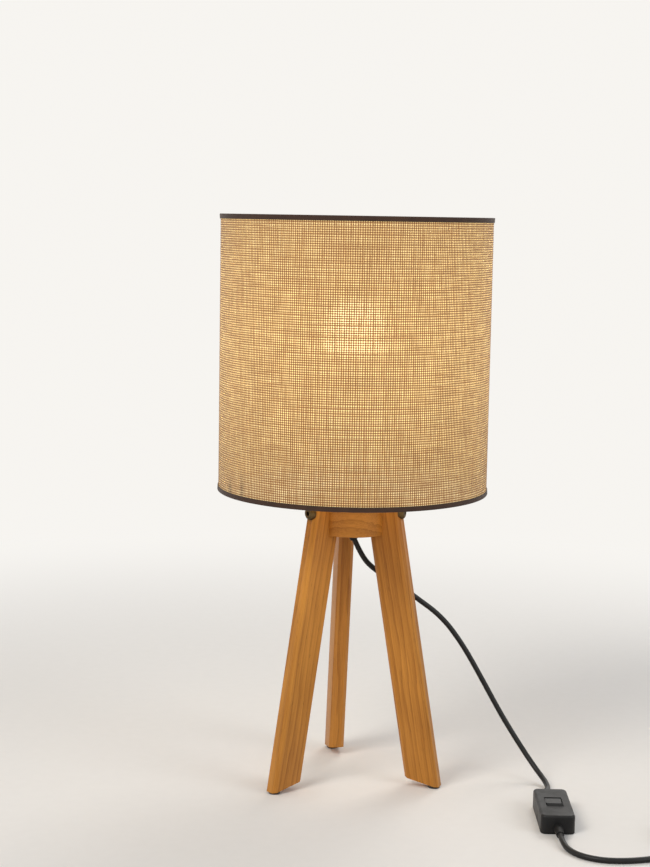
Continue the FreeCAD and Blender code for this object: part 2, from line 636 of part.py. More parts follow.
save("shade_fabric", disc(SHADE_RADIUS, FABRIC_HIGH - FABRIC_LOW, FABRIC_LOW, LINER_OUTER))
save("shade_liner", disc(LINER_OUTER, FABRIC_HIGH - FABRIC_LOW, FABRIC_LOW, LINER_INNER))
save("bottom_binding", make_binding(SHADE_BOTTOM, 1))
save("top_binding", make_binding(SHADE_TOP, -1))
save("top_wire", Part.makeTorus(WIRE_PATH, WIRE_RADIUS, V(0, 0, WIRE_HIGH)))
save("shade_spider", make_spider())


def make_shade_ring():
    """The ring nut that clamps the shade's fitter on the lampholder."""
    base = FITTER_TOP + SEAT_PLAY
    bore = SKIRT_RADIUS + RING_PLAY
    ring = turned([(bore, base), (RING_RADIUS, base), (RING_RADIUS, base + RING_FLANGE),
                   (RING_GRIP_RADIUS, base + RING_FLANGE), (RING_GRIP_RADIUS, base + RING_HEIGHT),
                   (bore, base + RING_HEIGHT)])
    for k in range(RING_NOTCHES):
        notch = Part.makeCylinder(RING_NOTCH_RADIUS, RING_HEIGHT,
                                  V(RING_GRIP_RADIUS + RING_NOTCH_RADIUS / 3, 0, base + RING_FLANGE))
        ring = ring.cut(turned_to(notch, 360 / RING_NOTCHES * k))
    return ring


save("shade_ring", make_shade_ring())


# ---- gland and the cord inside the lamp ----

GLAND_TOP = TUBE_BOTTOM
BEND_START = GLAND_TOP - GLAND_FLANGE_HEIGHT


def bend_point(share):
    """A point on the gland's curved axis and the way that the cord runs there."""
    angle = math.radians(GLAND_BEND_ANGLE) * share
    point = V(GLAND_BEND_RADIUS * (1 - math.cos(angle)), 0, BEND_START - GLAND_BEND_RADIUS * math.sin(angle))
    return point, V(math.sin(angle), 0, -math.cos(angle))


def bend_edge():
    return Part.Arc(bend_point(0)[0], bend_point(0.5)[0], bend_point(1)[0]).toShape()


def make_gland():
    """A rubber bend relief: spigot in the tube, flange, and a curved taper below."""
    sections = []
    root = GLAND_FLANGE_RADIUS - LOOSE
    for share in (0, 0.25, 0.5, 0.75, 1):
        point, direction = bend_point(share)
        radius = root + (GLAND_TIP_RADIUS - root) * share
        sections.append(Part.Wire(Part.makeCircle(radius, point, direction)))
    taper = Part.makeLoft(sections, True, False)
    gland = disc(TUBE_BORE - FIT, GLAND_SPIGOT, GLAND_TOP)
    gland = gland.fuse(disc(GLAND_FLANGE_RADIUS, GLAND_FLANGE_HEIGHT, BEND_START)).fuse(taper)
    bore = pipe([bend_edge()], bend_point(0)[0], V(0, 0, -1), CORD_RADIUS + FIT)
    bore = bore.fuse(disc(CORD_RADIUS + FIT, GLAND_SPIGOT + GLAND_FLANGE_HEIGHT, BEND_START))
    return gland.cut(bore)


def make_inner_cord():
    """The cord from the gland's tip up the tube, with two bared cores at its terminals."""
    cord = disc(CORD_RADIUS, TUBE_TOP - BEND_START, BEND_START)
    cord = cord.fuse(pipe([bend_edge()], bend_point(0)[0], V(0, 0, -1), CORD_RADIUS))
    height = PUCK_BASE - TERMINAL_HEAD_HEIGHT / 2
    reach = TERMINAL_OFFSET - TERMINAL_HEAD_RADIUS - FIT - CORE_OFFSET
    for side in (-1, 1):
        bend = V(side * CORE_OFFSET, 0, height)
        foot = V(side * CORE_OFFSET, 0, TUBE_TOP)
        cord = cord.fuse(Part.makeCylinder(CORE_RADIUS, height - TUBE_TOP, foot))
        cord = cord.fuse(Part.makeSphere(CORE_RADIUS, bend))
        cord = cord.fuse(Part.makeCylinder(CORE_RADIUS, reach, bend, OUTWARD * side))
    return cord


save("cord_gland", make_gland())
save("inner_cord", make_inner_cord())


# ---- switch on the cord ----

HALF_LENGTH = SWITCH_LENGTH / 2
SCREW_SEAT = SCREW_HEAD_HEIGHT + SCREW_SINK
WINDOW = V(ROCKER_WIDTH + 2 * ROCKER_GAP, 2 * (ROCKER_TIP_RADIUS + ROCKER_GAP), SWITCH_HEIGHT)
COLLAR = V(WINDOW.x + 2 * COLLAR_WALL, WINDOW.y + 2 * COLLAR_WALL, 0)
COLLAR_BASE = ROCKER_PIVOT_HEIGHT - COLLAR_DEPTH
PIN_HOLE = ROCKER_PIN_RADIUS + FIT


def at_switch(shape):
    """A copy of a piece, moved from the switch's own middle to its place."""
    copy = shape.copy()
    copy.translate(SWITCH_CENTRE)
    return copy


def rounded_case(inset, low, high):
    """A box with round upright corners."""
    size = V(SWITCH_WIDTH - 2 * inset, SWITCH_LENGTH - 2 * inset, high - low)
    case = block(size, V(-size.x / 2, -size.y / 2, low))
    return case.makeFillet(SWITCH_CORNER - inset, edges_along(case, UP))


def relief_bore():
    """The round hole through both end walls that the reliefs' necks fill."""
    return Part.makeCylinder(RELIEF_NECK_RADIUS + FIT, 2 * SWITCH_LENGTH,
                             V(0, -SWITCH_LENGTH, SWITCH_SPLIT), BACKWARD)


def make_switch_base():
    base = rounded_case(0, 0, SWITCH_SPLIT)
    base = base.makeFillet(SWITCH_EDGE / 2, edges_at(base, 0))
    base = base.cut(rounded_case(SWITCH_WALL, SWITCH_WALL, SWITCH_SPLIT))
    for spot in SWITCH_SCREW_SPOTS:
        foot = spot + V(0, 0, SWITCH_WALL / 2)
        base = base.fuse(Part.makeCylinder(SWITCH_POST_RADIUS, SWITCH_SPLIT - foot.z, foot))
        base = base.cut(Part.makeCylinder(SWITCH_SCREW_RADIUS + FIT, SWITCH_SPLIT, spot))
        base = base.cut(Part.makeCylinder(SWITCH_SCREW_RADIUS + SWITCH_SCREW_HEAD + FIT, SCREW_SEAT, spot))
    return base.cut(relief_bore())


def make_switch_cover():
    cover = rounded_case(0, SWITCH_SPLIT, SWITCH_HEIGHT)
    cover = cover.makeFillet(SWITCH_EDGE, edges_at(cover, SWITCH_HEIGHT))
    roof = SWITCH_HEIGHT - SWITCH_WALL
    cover = cover.cut(rounded_case(SWITCH_WALL, SWITCH_SPLIT, roof))
    collar_height = roof + SWITCH_WALL / 2 - COLLAR_BASE
    cover = cover.fuse(block(COLLAR + UP * collar_height, V(-COLLAR.x / 2, -COLLAR.y / 2, COLLAR_BASE)))
    cover = cover.cut(block(WINDOW, V(-WINDOW.x / 2, -WINDOW.y / 2, COLLAR_BASE)))
    cover = cover.cut(Part.makeCylinder(PIN_HOLE, COLLAR.x, V(-COLLAR.x / 2, 0, ROCKER_PIVOT_HEIGHT), OUTWARD))
    screw_room = SCREW_SEAT + SWITCH_SCREW_LENGTH + LOOSE - SWITCH_SPLIT
    for spot in SWITCH_SCREW_SPOTS:
        foot = spot + V(0, 0, SWITCH_SPLIT)
        cover = cover.fuse(Part.makeCylinder(SWITCH_POST_RADIUS, roof + SWITCH_WALL / 2 - SWITCH_SPLIT, foot))
        cover = cover.cut(Part.makeCylinder(SWITCH_SCREW_RADIUS + FIT, screw_room, foot))
    return cover.cut(relief_bore())


def make_rocker():
    """A rocker whose ends are arcs about its pivot, tilted to its ON side."""
    reach_high = math.sqrt(ROCKER_TIP_RADIUS ** 2 - ROCKER_RISE ** 2)
    reach_low = math.sqrt(ROCKER_TIP_RADIUS ** 2 - ROCKER_SINK ** 2)
    left = -ROCKER_WIDTH / 2
    far_top, near_top = V(left, reach_high, ROCKER_RISE), V(left, -reach_high, ROCKER_RISE)
    far_low, near_low = V(left, reach_low, -ROCKER_SINK), V(left, -reach_low, -ROCKER_SINK)
    far_tip, near_tip = V(left, ROCKER_TIP_RADIUS, 0), V(left, -ROCKER_TIP_RADIUS, 0)
    valley = V(left, 0, ROCKER_VALLEY)
    edges = [Part.Arc(far_low, far_tip, far_top).toShape(), Part.makeLine(far_top, valley),
             Part.makeLine(valley, near_top), Part.Arc(near_top, near_tip, near_low).toShape(),
             Part.makeLine(near_low, far_low)]
    rocker = Part.Face(Part.Wire(edges)).extrude(V(ROCKER_WIDTH, 0, 0))
    rocker = rocker.cut(Part.makeCylinder(PIN_HOLE, ROCKER_WIDTH, V(left, 0, 0), OUTWARD))
    rocker.rotate(ORIGIN, OUTWARD, -ROCKER_TILT)
    rocker.translate(V(0, 0, ROCKER_PIVOT_HEIGHT))
    return rocker


def make_rocker_pin():
    return Part.makeCylinder(ROCKER_PIN_RADIUS, COLLAR.x, V(-COLLAR.x / 2, 0, ROCKER_PIVOT_HEIGHT), OUTWARD)


def make_switch_screws():
    screws = []
    for spot in SWITCH_SCREW_SPOTS:
        head = Part.makeCylinder(SWITCH_SCREW_RADIUS + SWITCH_SCREW_HEAD, SCREW_HEAD_HEIGHT,
                                 spot + V(0, 0, SCREW_SINK))
        shank = Part.makeCylinder(SWITCH_SCREW_RADIUS, SWITCH_SCREW_LENGTH, spot + V(0, 0, SCREW_SEAT))
        screws.append(head.fuse(shank))
    return Part.Compound(screws)


def make_reliefs():
    """Rubber reliefs: a taper outside, a neck in the wall and a flange inside."""
    inside = -SWITCH_WALL - FIT
    profile = [(0, RELIEF_LENGTH), (RELIEF_TIP_RADIUS, RELIEF_LENGTH), (RELIEF_ROOT_RADIUS, FIT),
               (RELIEF_NECK_RADIUS, FIT), (RELIEF_NECK_RADIUS, inside), (RELIEF_FLANGE_RADIUS, inside),
               (RELIEF_FLANGE_RADIUS, inside - RELIEF_FLANGE), (0, inside - RELIEF_FLANGE)]
    reliefs = []
    for side in (-1, 1):
        reliefs.append(turned(profile, V(0, side * HALF_LENGTH, SWITCH_SPLIT), BACKWARD * side))
    return Part.Compound(reliefs)


def make_switch_contacts():
    """Two brass strips on the base, each with an upright under the rocker."""
    size = CONTACT_STRIP
    contacts = []
    for side in (-1, 1):
        strip_start = min(side * CONTACT_STRIP_START, side * (CONTACT_STRIP_START + size.y))
        upright_start = min(side * CONTACT_STRIP_START, side * (CONTACT_STRIP_START + size.z))
        strip = block(size, V(CONTACT_STRIP_EDGE, strip_start, SWITCH_WALL))
        upright = block(V(size.x, size.z, CONTACT_UPRIGHT), V(CONTACT_STRIP_EDGE, upright_start, SWITCH_WALL))
        contacts.append(strip.fuse(upright).removeSplitter())
    return Part.Compound(contacts)


def make_switch_leads():
    """The neutral core running through, and the live core to each contact."""
    inner = HALF_LENGTH - SWITCH_WALL - RELIEF_FLANGE - 2 * FIT
    neutral_side = RELIEF_NECK_RADIUS - LOOSE
    leads = [Part.makeCylinder(CORE_RADIUS, 2 * inner, V(neutral_side, -inner, SWITCH_SPLIT), BACKWARD)]
    height = SWITCH_WALL + CONTACT_STRIP.z + CORE_RADIUS + FIT
    middle = CONTACT_STRIP_EDGE + CONTACT_STRIP.x / 2
    for side in (-1, 1):
        start = V(-CORE_RADIUS - FIT, side * (inner - LOOSE), height)
        end = V(middle, side * (CONTACT_STRIP_START + CONTACT_STRIP.y * 0.8), height)
        leads.append(Part.makeCylinder(CORE_RADIUS, (end - start).Length, start, end - start))
    return Part.Compound(leads)


for switch_name, switch_piece in (
        ("switch_base", make_switch_base()), ("switch_cover", make_switch_cover()),
        ("switch_rocker", make_rocker()), ("rocker_pin", make_rocker_pin()),
        ("switch_screws", make_switch_screws()), ("switch_reliefs", make_reliefs()),
        ("switch_contacts", make_switch_contacts()), ("switch_leads", make_switch_leads())):
    save(switch_name, at_switch(switch_piece))


# ---- free cord and its coil ----

COIL_PITCH = 2 * CORD_RADIUS + COIL_GAP
COIL_HEIGHT = CORD_RADIUS + TIE_SLACK + TIE_THICKNESS + FIT
COIL_CENTRE = V(COIL_ENTRY.x + 2 * CORD_RADIUS, COIL_ENTRY.y + COIL_OUTER, 0)
CLIMB = 0.5                              # turns
LAYER_TURNS = (COIL_TURNS - CLIMB) / 2
REVERSAL = LAYER_TURNS + CLIMB / 2
COIL_START = -90.0                       # degrees round the coil


def coil_radius(turn):
    """Inwards at a steady rate to the middle of the climb, then outwards again."""
    return COIL_OUTER - COIL_PITCH * (REVERSAL - abs(turn - REVERSAL))


def coil_height(turn):
    share = min(max((turn - LAYER_TURNS) / CLIMB, 0), 1)
    return COIL_HEIGHT + COIL_PITCH * (1 - math.cos(math.pi * share)) / 2


def coil_point(turn):
    angle = math.radians(COIL_START + 360 * turn)
    radius = coil_radius(turn)
    return COIL_CENTRE + V(radius * math.cos(angle), radius * math.sin(angle), coil_height(turn))


def coil_direction(turn):
    """Along the turns; square to the radius at both ends and where the spiral reverses."""
    angle = math.radians(COIL_START + 360 * turn)
    if min(turn, COIL_TURNS - turn) < 1e-9:
        return V(-math.sin(angle), math.cos(angle), 0)
    step = 1e-3
    ahead = coil_point(turn + step) - coil_point(turn - step)
    return ahead.normalize()


def biarc(start, leaving, end, arriving):
    """Two arcs that join two points with given directions smoothly."""
    chord = end - start
    both = leaving + arriving
    spread = 2 * (1 - leaving.dot(arriving))
    along = chord.dot(both)
    reach = (math.sqrt(along ** 2 + spread * chord.dot(chord)) - along) / spread
    first_corner = start + leaving * reach
    second_corner = end - arriving * reach
    joint = (first_corner + second_corner) * 0.5
    return [Part.Arc(start, arc_middle(start, first_corner, joint), joint).toShape(),
            Part.Arc(joint, arc_middle(joint, second_corner, end), end).toShape()]


def coil_stations():
    """Turn counts about a quarter turn apart, with the climb's ends among them."""
    quarters = round(4 * LAYER_TURNS)
    lower = [LAYER_TURNS * k / quarters for k in range(quarters)]
    climb = [LAYER_TURNS, REVERSAL]
    upper = [LAYER_TURNS + CLIMB + LAYER_TURNS * k / quarters for k in range(quarters + 1)]
    return lower + climb + upper


def least_gap(edges):
    """The smallest distance between points of the coil that lie over half a turn apart."""
    points = []
    travelled = 0.0
    for edge in edges:
        count = max(2, int(edge.Length / 1.5))
        for k in range(count):
            share = k / count
            parameter = edge.FirstParameter + (edge.LastParameter - edge.FirstParameter) * share
            points.append((travelled + edge.Length * share, edge.valueAt(parameter)))
        travelled += edge.Length
    apart = math.pi * (COIL_OUTER - COIL_PITCH * REVERSAL)
    nearest = min((a - b).Length for i, (s, a) in enumerate(points)
                  for t, b in points[i + 1:] if t - s > apart)
    return nearest - 2 * CORD_RADIUS


def make_coil():
    """Six neat turns in two layers, with one cord diameter straight at each end."""
    stations = coil_stations()
    ends = 2 * CORD_RADIUS
    first = coil_point(0)
    last = coil_point(COIL_TURNS)
    entry = first - coil_direction(0) * ends
    edges = [Part.LineSegment(entry, first).toShape()]
    for before, after in zip(stations, stations[1:]):
        edges += biarc(coil_point(before), coil_direction(before), coil_point(after), coil_direction(after))
    edges.append(Part.LineSegment(last, last + coil_direction(COIL_TURNS) * ends).toShape())
    solid = pipe(edges, entry, coil_direction(0), CORD_RADIUS)
    length = sum(edge.Length for edge in edges)
    share = solid.Volume / (math.pi * CORD_RADIUS ** 2 * length)
    print("cord_coil length", round(length, 1), "volume share", round(share, 4),
          "least gap", round(least_gap(edges), 2))
    return solid, length


def make_tie():
    """A flat band round the bundle of turns."""
    turns = [((TIE_ANGLE - COIL_START) % 360) / 360 + k for k in range(int(COIL_TURNS) + 1)]
    radii = [coil_radius(turn) for turn in turns if turn < COIL_TURNS]
    around = CORD_RADIUS + TIE_SLACK
    low = V(min(radii) - around, -TIE_WIDTH / 2, COIL_HEIGHT - around)
    size = V(max(radii) + around - low.x, TIE_WIDTH, COIL_PITCH + 2 * around)
    skin = V(TIE_THICKNESS, 0, TIE_THICKNESS)
    corner = around

    def band(lowest, extent, radius):
        shape = block(extent, lowest)
        return shape.makeFillet(radius, edges_along(shape, BACKWARD))

    tie = band(low - skin, size + skin * 2, corner + TIE_THICKNESS).cut(band(low, size, corner))
    tie.rotate(ORIGIN, UP, TIE_ANGLE)
    tie.translate(COIL_CENTRE)
    return tie


cord_upper, upper_length = tube_along(CORD_UPPER, CORD_RADIUS, "cord_upper")
cord_lower, lower_length = tube_along(CORD_LOWER, CORD_RADIUS, "cord_lower")
cord_tail, tail_length = tube_along(CORD_TAIL, CORD_RADIUS, "cord_tail")
cord_coil, coil_length = make_coil()
between_tips = SWITCH_LENGTH + 2 * RELIEF_LENGTH
print("cord from gland to plug", round(upper_length + between_tips + lower_length + coil_length + tail_length))
save("cord_upper", cord_upper)
save("cord_lower", cord_lower)
save("cord_coil", cord_coil)
save("cord_tail", cord_tail)
save("coil_tie", make_tie())


# ---- two-pin plug ----

PLUG_FRONT = PLUG_RELIEF_LENGTH + PLUG_BODY_LENGTH


def at_plug(shape):
    """A copy of a piece, moved from the plug's own cord end to its place."""
    copy = shape.copy()
    copy.translate(CORD_TAIL[-1])
    return copy


def make_plug_body():
    """A flat moulded body with sloping shoulders, and its tapered relief."""
    half = PLUG_WIDTH / 2
    waist = PLUG_WAIST / 2
    start = PLUG_RELIEF_LENGTH
    shoulder = start + PLUG_SHOULDER
    outline = [(-waist, start), (waist, start), (half, shoulder), (half, PLUG_FRONT),
               (-half, PLUG_FRONT), (-half, shoulder)]
    points = [V(x, y, -PLUG_THICKNESS / 2) for x, y in outline]
    body = Part.Face(Part.makePolygon(points + [points[0]])).extrude(V(0, 0, PLUG_THICKNESS))
    body = body.makeFillet(PLUG_CORNER, edges_along(body, UP))
    flat_edges = edges_at(body, -PLUG_THICKNESS / 2) + edges_at(body, PLUG_THICKNESS / 2)
    body = body.makeFillet(PLUG_EDGE, flat_edges)
    tip = CORD_RADIUS + PLUG_RELIEF_WALL
    root = tip + 2 * PLUG_RELIEF_WALL
    relief = turned([(0, 0), (tip, 0), (root, start + PLUG_CORNER), (0, start + PLUG_CORNER)], ORIGIN, BACKWARD)
    body = body.fuse(relief)
    for side in (-1, 1):
        body = body.cut(pin_cylinder(PIN_CORE_RADIUS, side, -PIN_ROOT, 0))
    return body


def pin_cylinder(radius, side, start, end):
    """A cylinder on a pin's axis, measured from the plug's front face."""
    return Part.makeCylinder(radius, end - start, V(side * PIN_SPACING / 2, PLUG_FRONT + start, 0), BACKWARD)


def make_pin(side):
    """A round pin: thin core in the sleeve, full size beyond it, with a rounded end."""
    core = pin_cylinder(PIN_CORE_RADIUS, side, -PIN_ROOT, PIN_SLEEVE_LENGTH)
    nose = PIN_RADIUS * 0.7
    profile = [(0, PIN_SLEEVE_LENGTH), (PIN_RADIUS, PIN_SLEEVE_LENGTH), (PIN_RADIUS, PIN_LENGTH - nose),
               (PIN_RADIUS * 0.85, PIN_LENGTH - nose * 0.4), (PIN_RADIUS * 0.5, PIN_LENGTH), (0, PIN_LENGTH)]
    return core.fuse(turned(profile, V(side * PIN_SPACING / 2, PLUG_FRONT, 0), BACKWARD))


def make_sleeve(side):
    sleeve = pin_cylinder(PIN_SLEEVE_RADIUS, side, 0, PIN_SLEEVE_LENGTH)
    return sleeve.cut(pin_cylinder(PIN_CORE_RADIUS, side, 0, PIN_SLEEVE_LENGTH))


save("plug_body", at_plug(make_plug_body()))
save("plug_pins", at_plug(Part.Compound([make_pin(-1), make_pin(1)])))
save("pin_sleeves", at_plug(Part.Compound([make_sleeve(-1), make_sleeve(1)])))
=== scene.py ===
import math

import bmesh
import bpy
from mathutils import Matrix, Vector


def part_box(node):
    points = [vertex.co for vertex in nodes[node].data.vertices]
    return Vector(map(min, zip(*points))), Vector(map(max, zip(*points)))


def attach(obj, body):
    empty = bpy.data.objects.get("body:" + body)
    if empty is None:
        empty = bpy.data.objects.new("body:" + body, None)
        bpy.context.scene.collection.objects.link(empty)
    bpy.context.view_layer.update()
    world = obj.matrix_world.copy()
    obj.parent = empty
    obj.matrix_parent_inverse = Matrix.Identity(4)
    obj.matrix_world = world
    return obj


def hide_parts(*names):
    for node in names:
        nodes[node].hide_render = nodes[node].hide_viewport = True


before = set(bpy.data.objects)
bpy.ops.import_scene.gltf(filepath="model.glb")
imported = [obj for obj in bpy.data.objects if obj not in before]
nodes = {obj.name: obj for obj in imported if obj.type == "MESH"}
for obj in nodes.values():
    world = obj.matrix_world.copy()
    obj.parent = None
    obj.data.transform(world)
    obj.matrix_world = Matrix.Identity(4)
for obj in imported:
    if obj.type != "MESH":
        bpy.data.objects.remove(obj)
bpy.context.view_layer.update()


# ---------------------------------------------------------------- camera
# The photograph was taken from the height of the shade's upper edge, 1.6 m away,
# with the camera tipped down by seven degrees and rolled by one. Its lens is long.

CAMERA_PLACE = Vector((0.0, -1.58017, 0.52862))
CAMERA_YAW = -0.0166          # radians, to the left of +Y
CAMERA_PITCH = 0.1263         # radians, downwards
CAMERA_ROLL = 0.0167          # radians
CAMERA_LENS = 71.08           # mm
CAMERA_SENSOR = 36.0          # mm, along the picture's long side

forward = Vector((math.sin(CAMERA_YAW) * math.cos(CAMERA_PITCH),
                  math.cos(CAMERA_YAW) * math.cos(CAMERA_PITCH), -math.sin(CAMERA_PITCH)))
level = Vector((math.cos(CAMERA_YAW), -math.sin(CAMERA_YAW), 0))
upward = level.cross(forward)
rightward = level * math.cos(CAMERA_ROLL) + upward * math.sin(CAMERA_ROLL)
upward = rightward.cross(forward)

lens = bpy.data.cameras.new("camera")
lens.lens = CAMERA_LENS
lens.sensor_width = CAMERA_SENSOR
lens.clip_start = 0.05
lens.clip_end = 30.0
camera = bpy.data.objects.new("camera", lens)
turn = Matrix((rightward, upward, -forward)).transposed().to_4x4()
camera.matrix_world = Matrix.Translation(CAMERA_PLACE) @ turn
bpy.context.scene.collection.objects.link(camera)
bpy.context.scene.camera = camera
bpy.context.scene.view_settings.view_transform = "Standard"


# ---------------------------------------------------------------- studio
# A round sheet of pale paper, matt under the lamp and fading into the clean
# background further out, and three soft lamps: upper left, right and behind.

FLOOR_RADIUS = 3.0
FLOOR_SIDES = 96
PAPER_NEAR = 0.45             # the paper starts to fade here, from the lamp's axis
PAPER_FAR = 1.25              # and is all background here
PAPER_FIBRE = 90.0            # fibres to a metre
PAPER_LIGHT = (0.88, 0.86, 0.825, 1)
PAPER_DARK = (0.85, 0.83, 0.795, 1)
BACKGROUND_COLOUR = (0.93, 0.91, 0.875, 1)
SKY_COLOUR = (0.86, 0.87, 0.90, 1)
SKY_STRENGTH = 0.46
LAMP_AIM = Vector((0, 0, 0.25))
LAMPS = {                     # place, width in metres, watts and colour
    "key": (Vector((-1.7, -1.9, 2.3)), 1.5, 46.0, (1.0, 0.96, 0.90)),
    "fill": (Vector((2.2, -1.3, 1.3)), 1.6, 17.0, (0.93, 0.96, 1.0)),
    "rim": (Vector((0.8, 1.7, 2.2)), 1.2, 20.0, (1.0, 0.97, 0.93)),
}


def add(tree, kind, inputs=None, **settings):
    """Adds a node with its settings; an input is a value or the socket that feeds it."""
    node = tree.nodes.new(kind)
    for name, value in settings.items():
        setattr(node, name, value)
    for name, value in (inputs or {}).items():
        if isinstance(value, bpy.types.NodeSocket):
            tree.links.new(value, node.inputs[name])
        else:
            node.inputs[name].default_value = value
    return node


def blank_material(name):
    material = bpy.data.materials.new(name)
    material.use_nodes = True
    material.node_tree.nodes.clear()
    return material, material.node_tree


def new_object(name, shape, material=None):
    item = bpy.data.objects.new(name, shape)
    bpy.context.scene.collection.objects.link(item)
    if material:
        shape.materials.append(material)
    return item


def math_node(tree, operation, first, second=0.0, third=0.0):
    node = add(tree, "ShaderNodeMath", {0: first, 1: second, 2: third}, operation=operation)
    return node.outputs[0]


def mix_colour(tree, factor, first, second):
    node = add(tree, "ShaderNodeMix", {0: factor, 6: first, 7: second}, data_type="RGBA")
    return node.outputs[2]


def noise(tree, vector, scale, detail, roughness=0.5):
    """Cloudy noise between nought and one."""
    node = add(tree, "ShaderNodeTexNoise",
               {"Vector": vector, "Scale": scale, "Detail": detail, "Roughness": roughness})
    return node.outputs[0]


def own_place(tree):
    """Where the point lies in the piece's own coordinates, in metres."""
    return add(tree, "ShaderNodeTexCoord").outputs["Object"]


def seen_directly(tree):
    """One for rays from the camera, a reflection or glass, and nought for light that bounces."""
    ray = add(tree, "ShaderNodeLightPath")
    seen = math_node(tree, "MAXIMUM", ray.outputs["Is Camera Ray"], ray.outputs["Is Glossy Ray"])
    return math_node(tree, "MAXIMUM", seen, ray.outputs["Is Transmission Ray"])


def paper_material():
    """Matt paper with a faint fibre; it keeps the shadow and fades out to the background."""
    material, tree = blank_material("seamless_paper")
    place = own_place(tree)
    tone = mix_colour(tree, noise(tree, place, scale=PAPER_FIBRE, detail=5.0), PAPER_DARK, PAPER_LIGHT)
    paper = add(tree, "ShaderNodeBsdfDiffuse", {"Color": tone})
    beyond = add(tree, "ShaderNodeEmission", {"Color": BACKGROUND_COLOUR, "Strength": 1.0})
    away = add(tree, "ShaderNodeVectorMath", {0: place}, operation="LENGTH").outputs["Value"]
    fade = add(tree, "ShaderNodeMapRange", {0: away, 1: PAPER_NEAR, 2: PAPER_FAR},
               interpolation_type="SMOOTHSTEP")
    share = math_node(tree, "MULTIPLY", fade.outputs[0], seen_directly(tree))
    both = add(tree, "ShaderNodeMixShader", {0: share, 1: paper.outputs[0], 2: beyond.outputs[0]})
    add(tree, "ShaderNodeOutputMaterial", {"Surface": both.outputs[0]})
    return material


def make_floor():
    mesh = bpy.data.meshes.new("floor")
    work = bmesh.new()
    bmesh.ops.create_circle(work, cap_ends=True, radius=FLOOR_RADIUS, segments=FLOOR_SIDES)
    work.to_mesh(mesh)
    work.free()
    return new_object("floor", mesh, paper_material())


make_floor()
for lamp_name, (place, width, power, colour) in LAMPS.items():
    lamp = bpy.data.lights.new(lamp_name, "AREA")
    lamp.shape = "DISK"
    lamp.size = width
    lamp.energy = power
    lamp.color = colour
    lamp_object = new_object(lamp_name, lamp)
    lamp_object.location = place
    lamp_object.rotation_mode = "QUATERNION"
    lamp_object.rotation_quaternion = (LAMP_AIM - place).to_track_quat("-Z", "Y")

world = bpy.data.worlds.new("studio")
bpy.context.scene.world = world
world.use_nodes = True
air = world.node_tree
air.nodes.clear()
sky = add(air, "ShaderNodeBackground", {"Color": SKY_COLOUR, "Strength": SKY_STRENGTH})
clean = add(air, "ShaderNodeBackground", {"Color": BACKGROUND_COLOUR, "Strength": 1.0})
both = add(air, "ShaderNodeMixShader", {0: seen_directly(air), 1: sky.outputs[0], 2: clean.outputs[0]})
add(air, "ShaderNodeOutputWorld", {"Surface": both.outputs[0]})


# ---------------------------------------------------------------- hub and legs
# Straight-grained hardwood, sawn, planed and oiled to a warm honey brown. The
# legs are boards with long chamfers, let into slots in a turned disc.

LEG_TURNS = {"leg_back": 100.0, "leg_front_left": 220.0, "leg_front_right": 340.0}   # degrees
LEG_LEAN = 9.75               # degrees from upright
LEG_EASE = 0.00035            # radius of a sanded arris, metres
HUB_EASE = 0.0005
ARRIS_ANGLE = 28.0            # a sharper edge than this gets sanded, degrees
FLAT_ANGLE = 0.6              # facets nearer than this are one face, degrees
SMOOTH_ANGLE = 30.0           # a sharper edge than this stays a line, degrees
WELD = 1e-6                   # points nearer than this are one, metres

WOOD_LIGHT = (0.66, 0.285, 0.046, 1)
WOOD_DARK = (0.31, 0.108, 0.013, 1)
PORE_COLOUR = (0.11, 0.034, 0.006, 1)
LEG_BAND = 0.0062             # a growth ring's width, metres
HUB_BAND = 0.0085
LEG_START = 0.07              # where each board lies in the tree, so that no two match
LEG_STEP = 0.31
HUB_START = 1.7
RING_SLANT = 0.55             # how far the rings turn across the board
RING_WANDER = 2.6             # in ring widths
LATE_WOOD = 2.2               # how suddenly a ring darkens
WANDER_GRAIN = (60, 60, 5)    # across the board, through it and along it, to a metre
FIBRE_GRAIN = (1500, 1500, 26)
CLOUD_GRAIN = (40, 40, 9)
PORE_GRAIN = (2600, 2600, 110)
FIBRE_SHARE = 0.75            # of the tone
RING_SHARE = 0.26
CLOUD_SHARE = 0.55
PORE_SHARE = 0.75


def new_material(name, **values):
    """A material with one Principled shader; values are set on its own sockets."""
    material, tree = blank_material(name)
    shader = add(tree, "ShaderNodeBsdfPrincipled")
    for socket, value in values.items():
        label = socket.replace("_", " ").title().replace("Ior", "IOR")
        shader.inputs[label].default_value = value
    add(tree, "ShaderNodeOutputMaterial", {"Surface": shader.outputs[0]})
    return material, tree, shader


def new_group(name, inputs, outputs):
    """A shader node group; sockets are (name, kind, value) and (name, kind)."""
    group = bpy.data.node_groups.new(name, "ShaderNodeTree")
    for label, kind, value in inputs:
        socket = group.interface.new_socket(label, in_out="INPUT", socket_type="NodeSocket" + kind)
        if value is not None:
            socket.default_value = value
    for label, kind in outputs:
        group.interface.new_socket(label, in_out="OUTPUT", socket_type="NodeSocket" + kind)
    return group, add(group, "NodeGroupInput").outputs, add(group, "NodeGroupOutput").inputs


def use_group(tree, group, inputs):
    return add(tree, "ShaderNodeGroup", inputs, node_tree=group).outputs


def spread(tree, value, low, high, to_low=0.0, to_high=1.0):
    """Maps a range of values onto another, clamped."""
    node = add(tree, "ShaderNodeMapRange", {0: value, 1: low, 2: high, 3: to_low, 4: to_high})
    return node.outputs[0]


def stretched(tree, vector, scale):
    return add(tree, "ShaderNodeMapping", {"Vector": vector, "Scale": scale}).outputs[0]


def add_relief(tree, shader, height, strength, distance):
    """Fine relief on the surface; the distance is its depth in metres."""
    bump = add(tree, "ShaderNodeBump", {"Height": height, "Strength": strength, "Distance": distance})
    tree.links.new(bump.outputs[0], shader.inputs["Normal"])


